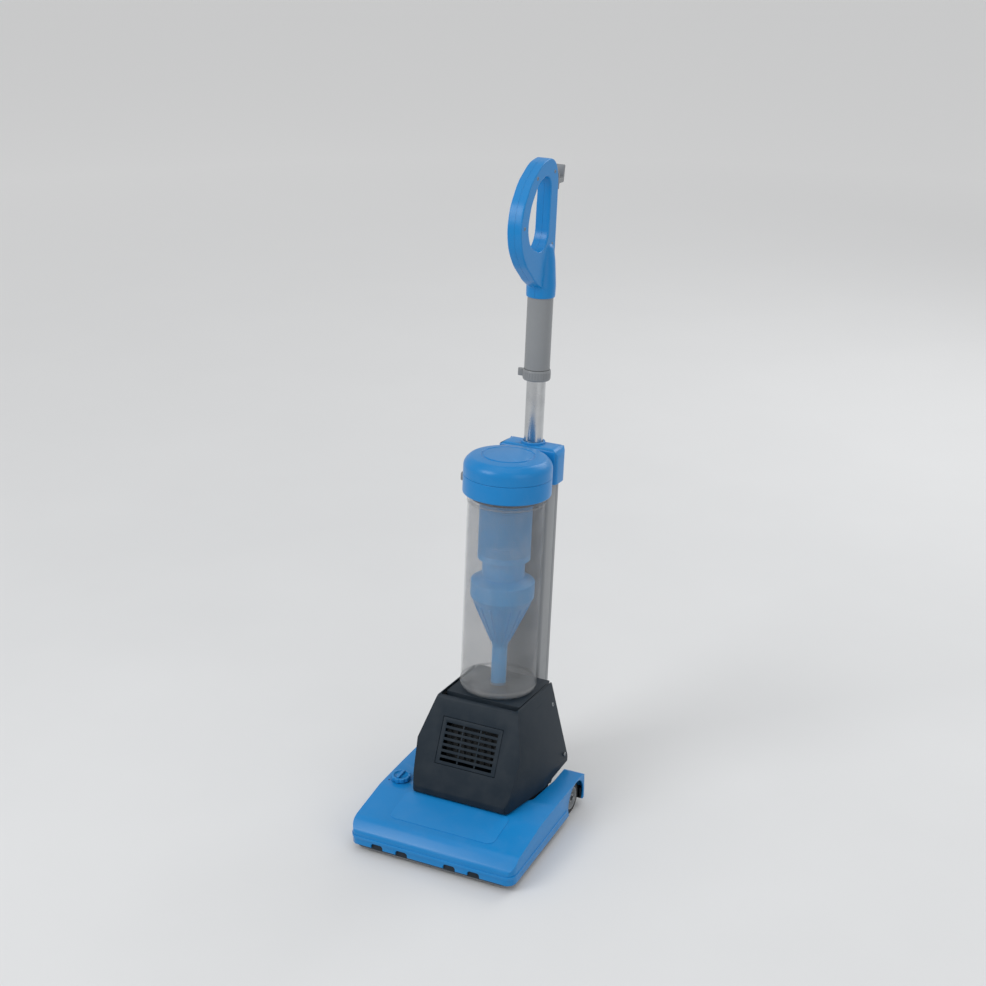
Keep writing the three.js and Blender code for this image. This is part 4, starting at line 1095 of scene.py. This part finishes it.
def gripBlock():
    half = gripValues["halfThickness"]
    grip = slab("grip", roundOff(gripValues["outer"], 0.07, 8), "X", -half, half)
    carve(grip, slab("hole", roundOff(gripValues["hole"], 0.04, 8), "X", -0.03, 0.03))
    softenEdges(grip, gripValues["edge"], 5, 60)
    neck = turned("neck", roundOff([
        (0, 0.8123), (0.024, 0.8123), (0.0245, 0.832), (0.0215, 0.872), (0.018, 0.896), (0.01, 0.904),
        (0, 0.905),
    ], [0, 0.002, 0.03, 0.06, 0.012, 0.006, 0], 6), 96, centre=(0, tubeValues["back"], 0))
    carve(grip, neck, how="UNION")
    applied(grip, "REMESH", mode="VOXEL", voxel_size=gripValues["grain"], adaptivity=0)
    return applied(grip, "SMOOTH", factor=0.5, iterations=gripValues["smoothing"])


def makeHandle():
    back = tubeValues["back"]
    low, high = straightBox("power_switch")
    middle = (low.z + high.z) / 2
    grip = gripBlock()
    wide, tall = gripValues["switchHalf"]
    opening = roundOff(oblong(-wide, wide, middle - tall, middle + tall), 0.002)
    sleeveBore = tubeValues["sleeve"] + tubeValues["gap"]
    tubeBore = tubeValues["radius"] + gripValues["tubeGap"]
    glandRadius, glandHeight = gripValues["gland"]
    pinRadius, pinHeight = gripValues["hookPin"]
    carve(grip, rod("sleeve_bore", sleeveBore, (0, back, 0.78), (0, back, 0.836), 96),
          rod("tube_bore", tubeBore, (0, back, 0.83), (0, back, gripValues["tubeBoreTop"]), 96),
          slab("switch_opening", opening, "Y", 0.112, 0.14),
          rod("gland_hole", glandRadius, (0, 0.103, glandHeight), (0, 0.14, glandHeight)),
          rod("hook_hole", pinRadius, (0, 0.108, pinHeight), (0, 0.14, pinHeight)))
    for side, name in ((-1, "left"), (1, "right")):
        half = duplicate(grip, "handle_half_" + name)
        editMode(half)
        bpy.ops.mesh.select_all(action="SELECT")
        bpy.ops.mesh.bisect(plane_co=(side * gripValues["seam"], 0, 0), plane_no=(side, 0, 0),
                            use_fill=True, clear_inner=True)
        bpy.ops.mesh.select_all(action="SELECT")
        bpy.ops.mesh.normals_make_consistent(inside=False)
        objectMode()
        leanBack(half)
        finishPiece(half, blue, "handle", "handle_" + name, slot="blue_plastic")
    bpy.data.objects.remove(grip)
    for b, s in gripValues["screws"]:
        addScrew((gripValues["halfThickness"], b, s), (1, 0, 0), "handle", 0.0032, proud=0.0008, lean=True)


def makeHandleFittings():
    low, high = straightBox("power_switch")
    middle = (low.z + high.z) / 2
    profile = roundOff([
        (low.y, low.z), (high.y - 0.002, low.z), (high.y - 0.004, middle), (high.y, high.z), (low.y, high.z),
    ], [0.001, 0.0015, 0.03, 0.0015, 0.001], 6)
    rocker = slab("rocker_switch", profile, "X", -0.008, 0.008)
    softenEdges(rocker, 0.0008, 3, 40)
    leanBack(rocker)
    finishPiece(rocker, black, "switch", "power_switch", slot="dark_plastic")
    for node, body, finish, slot in (("cord_hook_upper", "hook", grey, "grey_plastic"),
                                     ("cord_hook_lower", "upright", grey, "grey_plastic"),
                                     ("cord_gland", "handle", rubber, "rubber")):
        finishPiece(fromCad(node, 0.0009, 3), finish, body, node, slot=slot)


makeHandle()
makeHandleFittings()
print("handle done")

# Parts that show a little at the joints, softened from the CAD

def softenRest():
    # each node's edge width and finish
    values = {
        "chassis": (0.0006, navy), "height_carriage": (0.0004, grey),
        "pivot_bracket_left": (0.0008, grey), "pivot_bracket_right": (0.0008, grey),
        "trunnion_left": (0.0006, grey), "trunnion_right": (0.0006, grey), "motor_housing": (0.0006, navy),
    }
    bodies = frame["record"]["behaviour"]["bodies"]
    owner = {node: body for body, nodes in bodies.items() for node in nodes}
    slots = {subpart["node"]: subpart["material_slot"] for subpart in frame["record"]["subparts"]}
    for node, (width, finish) in values.items():
        finishPiece(fromCad(node, width), finish, owner[node], node, slot=slots[node])


softenRest()
print("softened parts done")
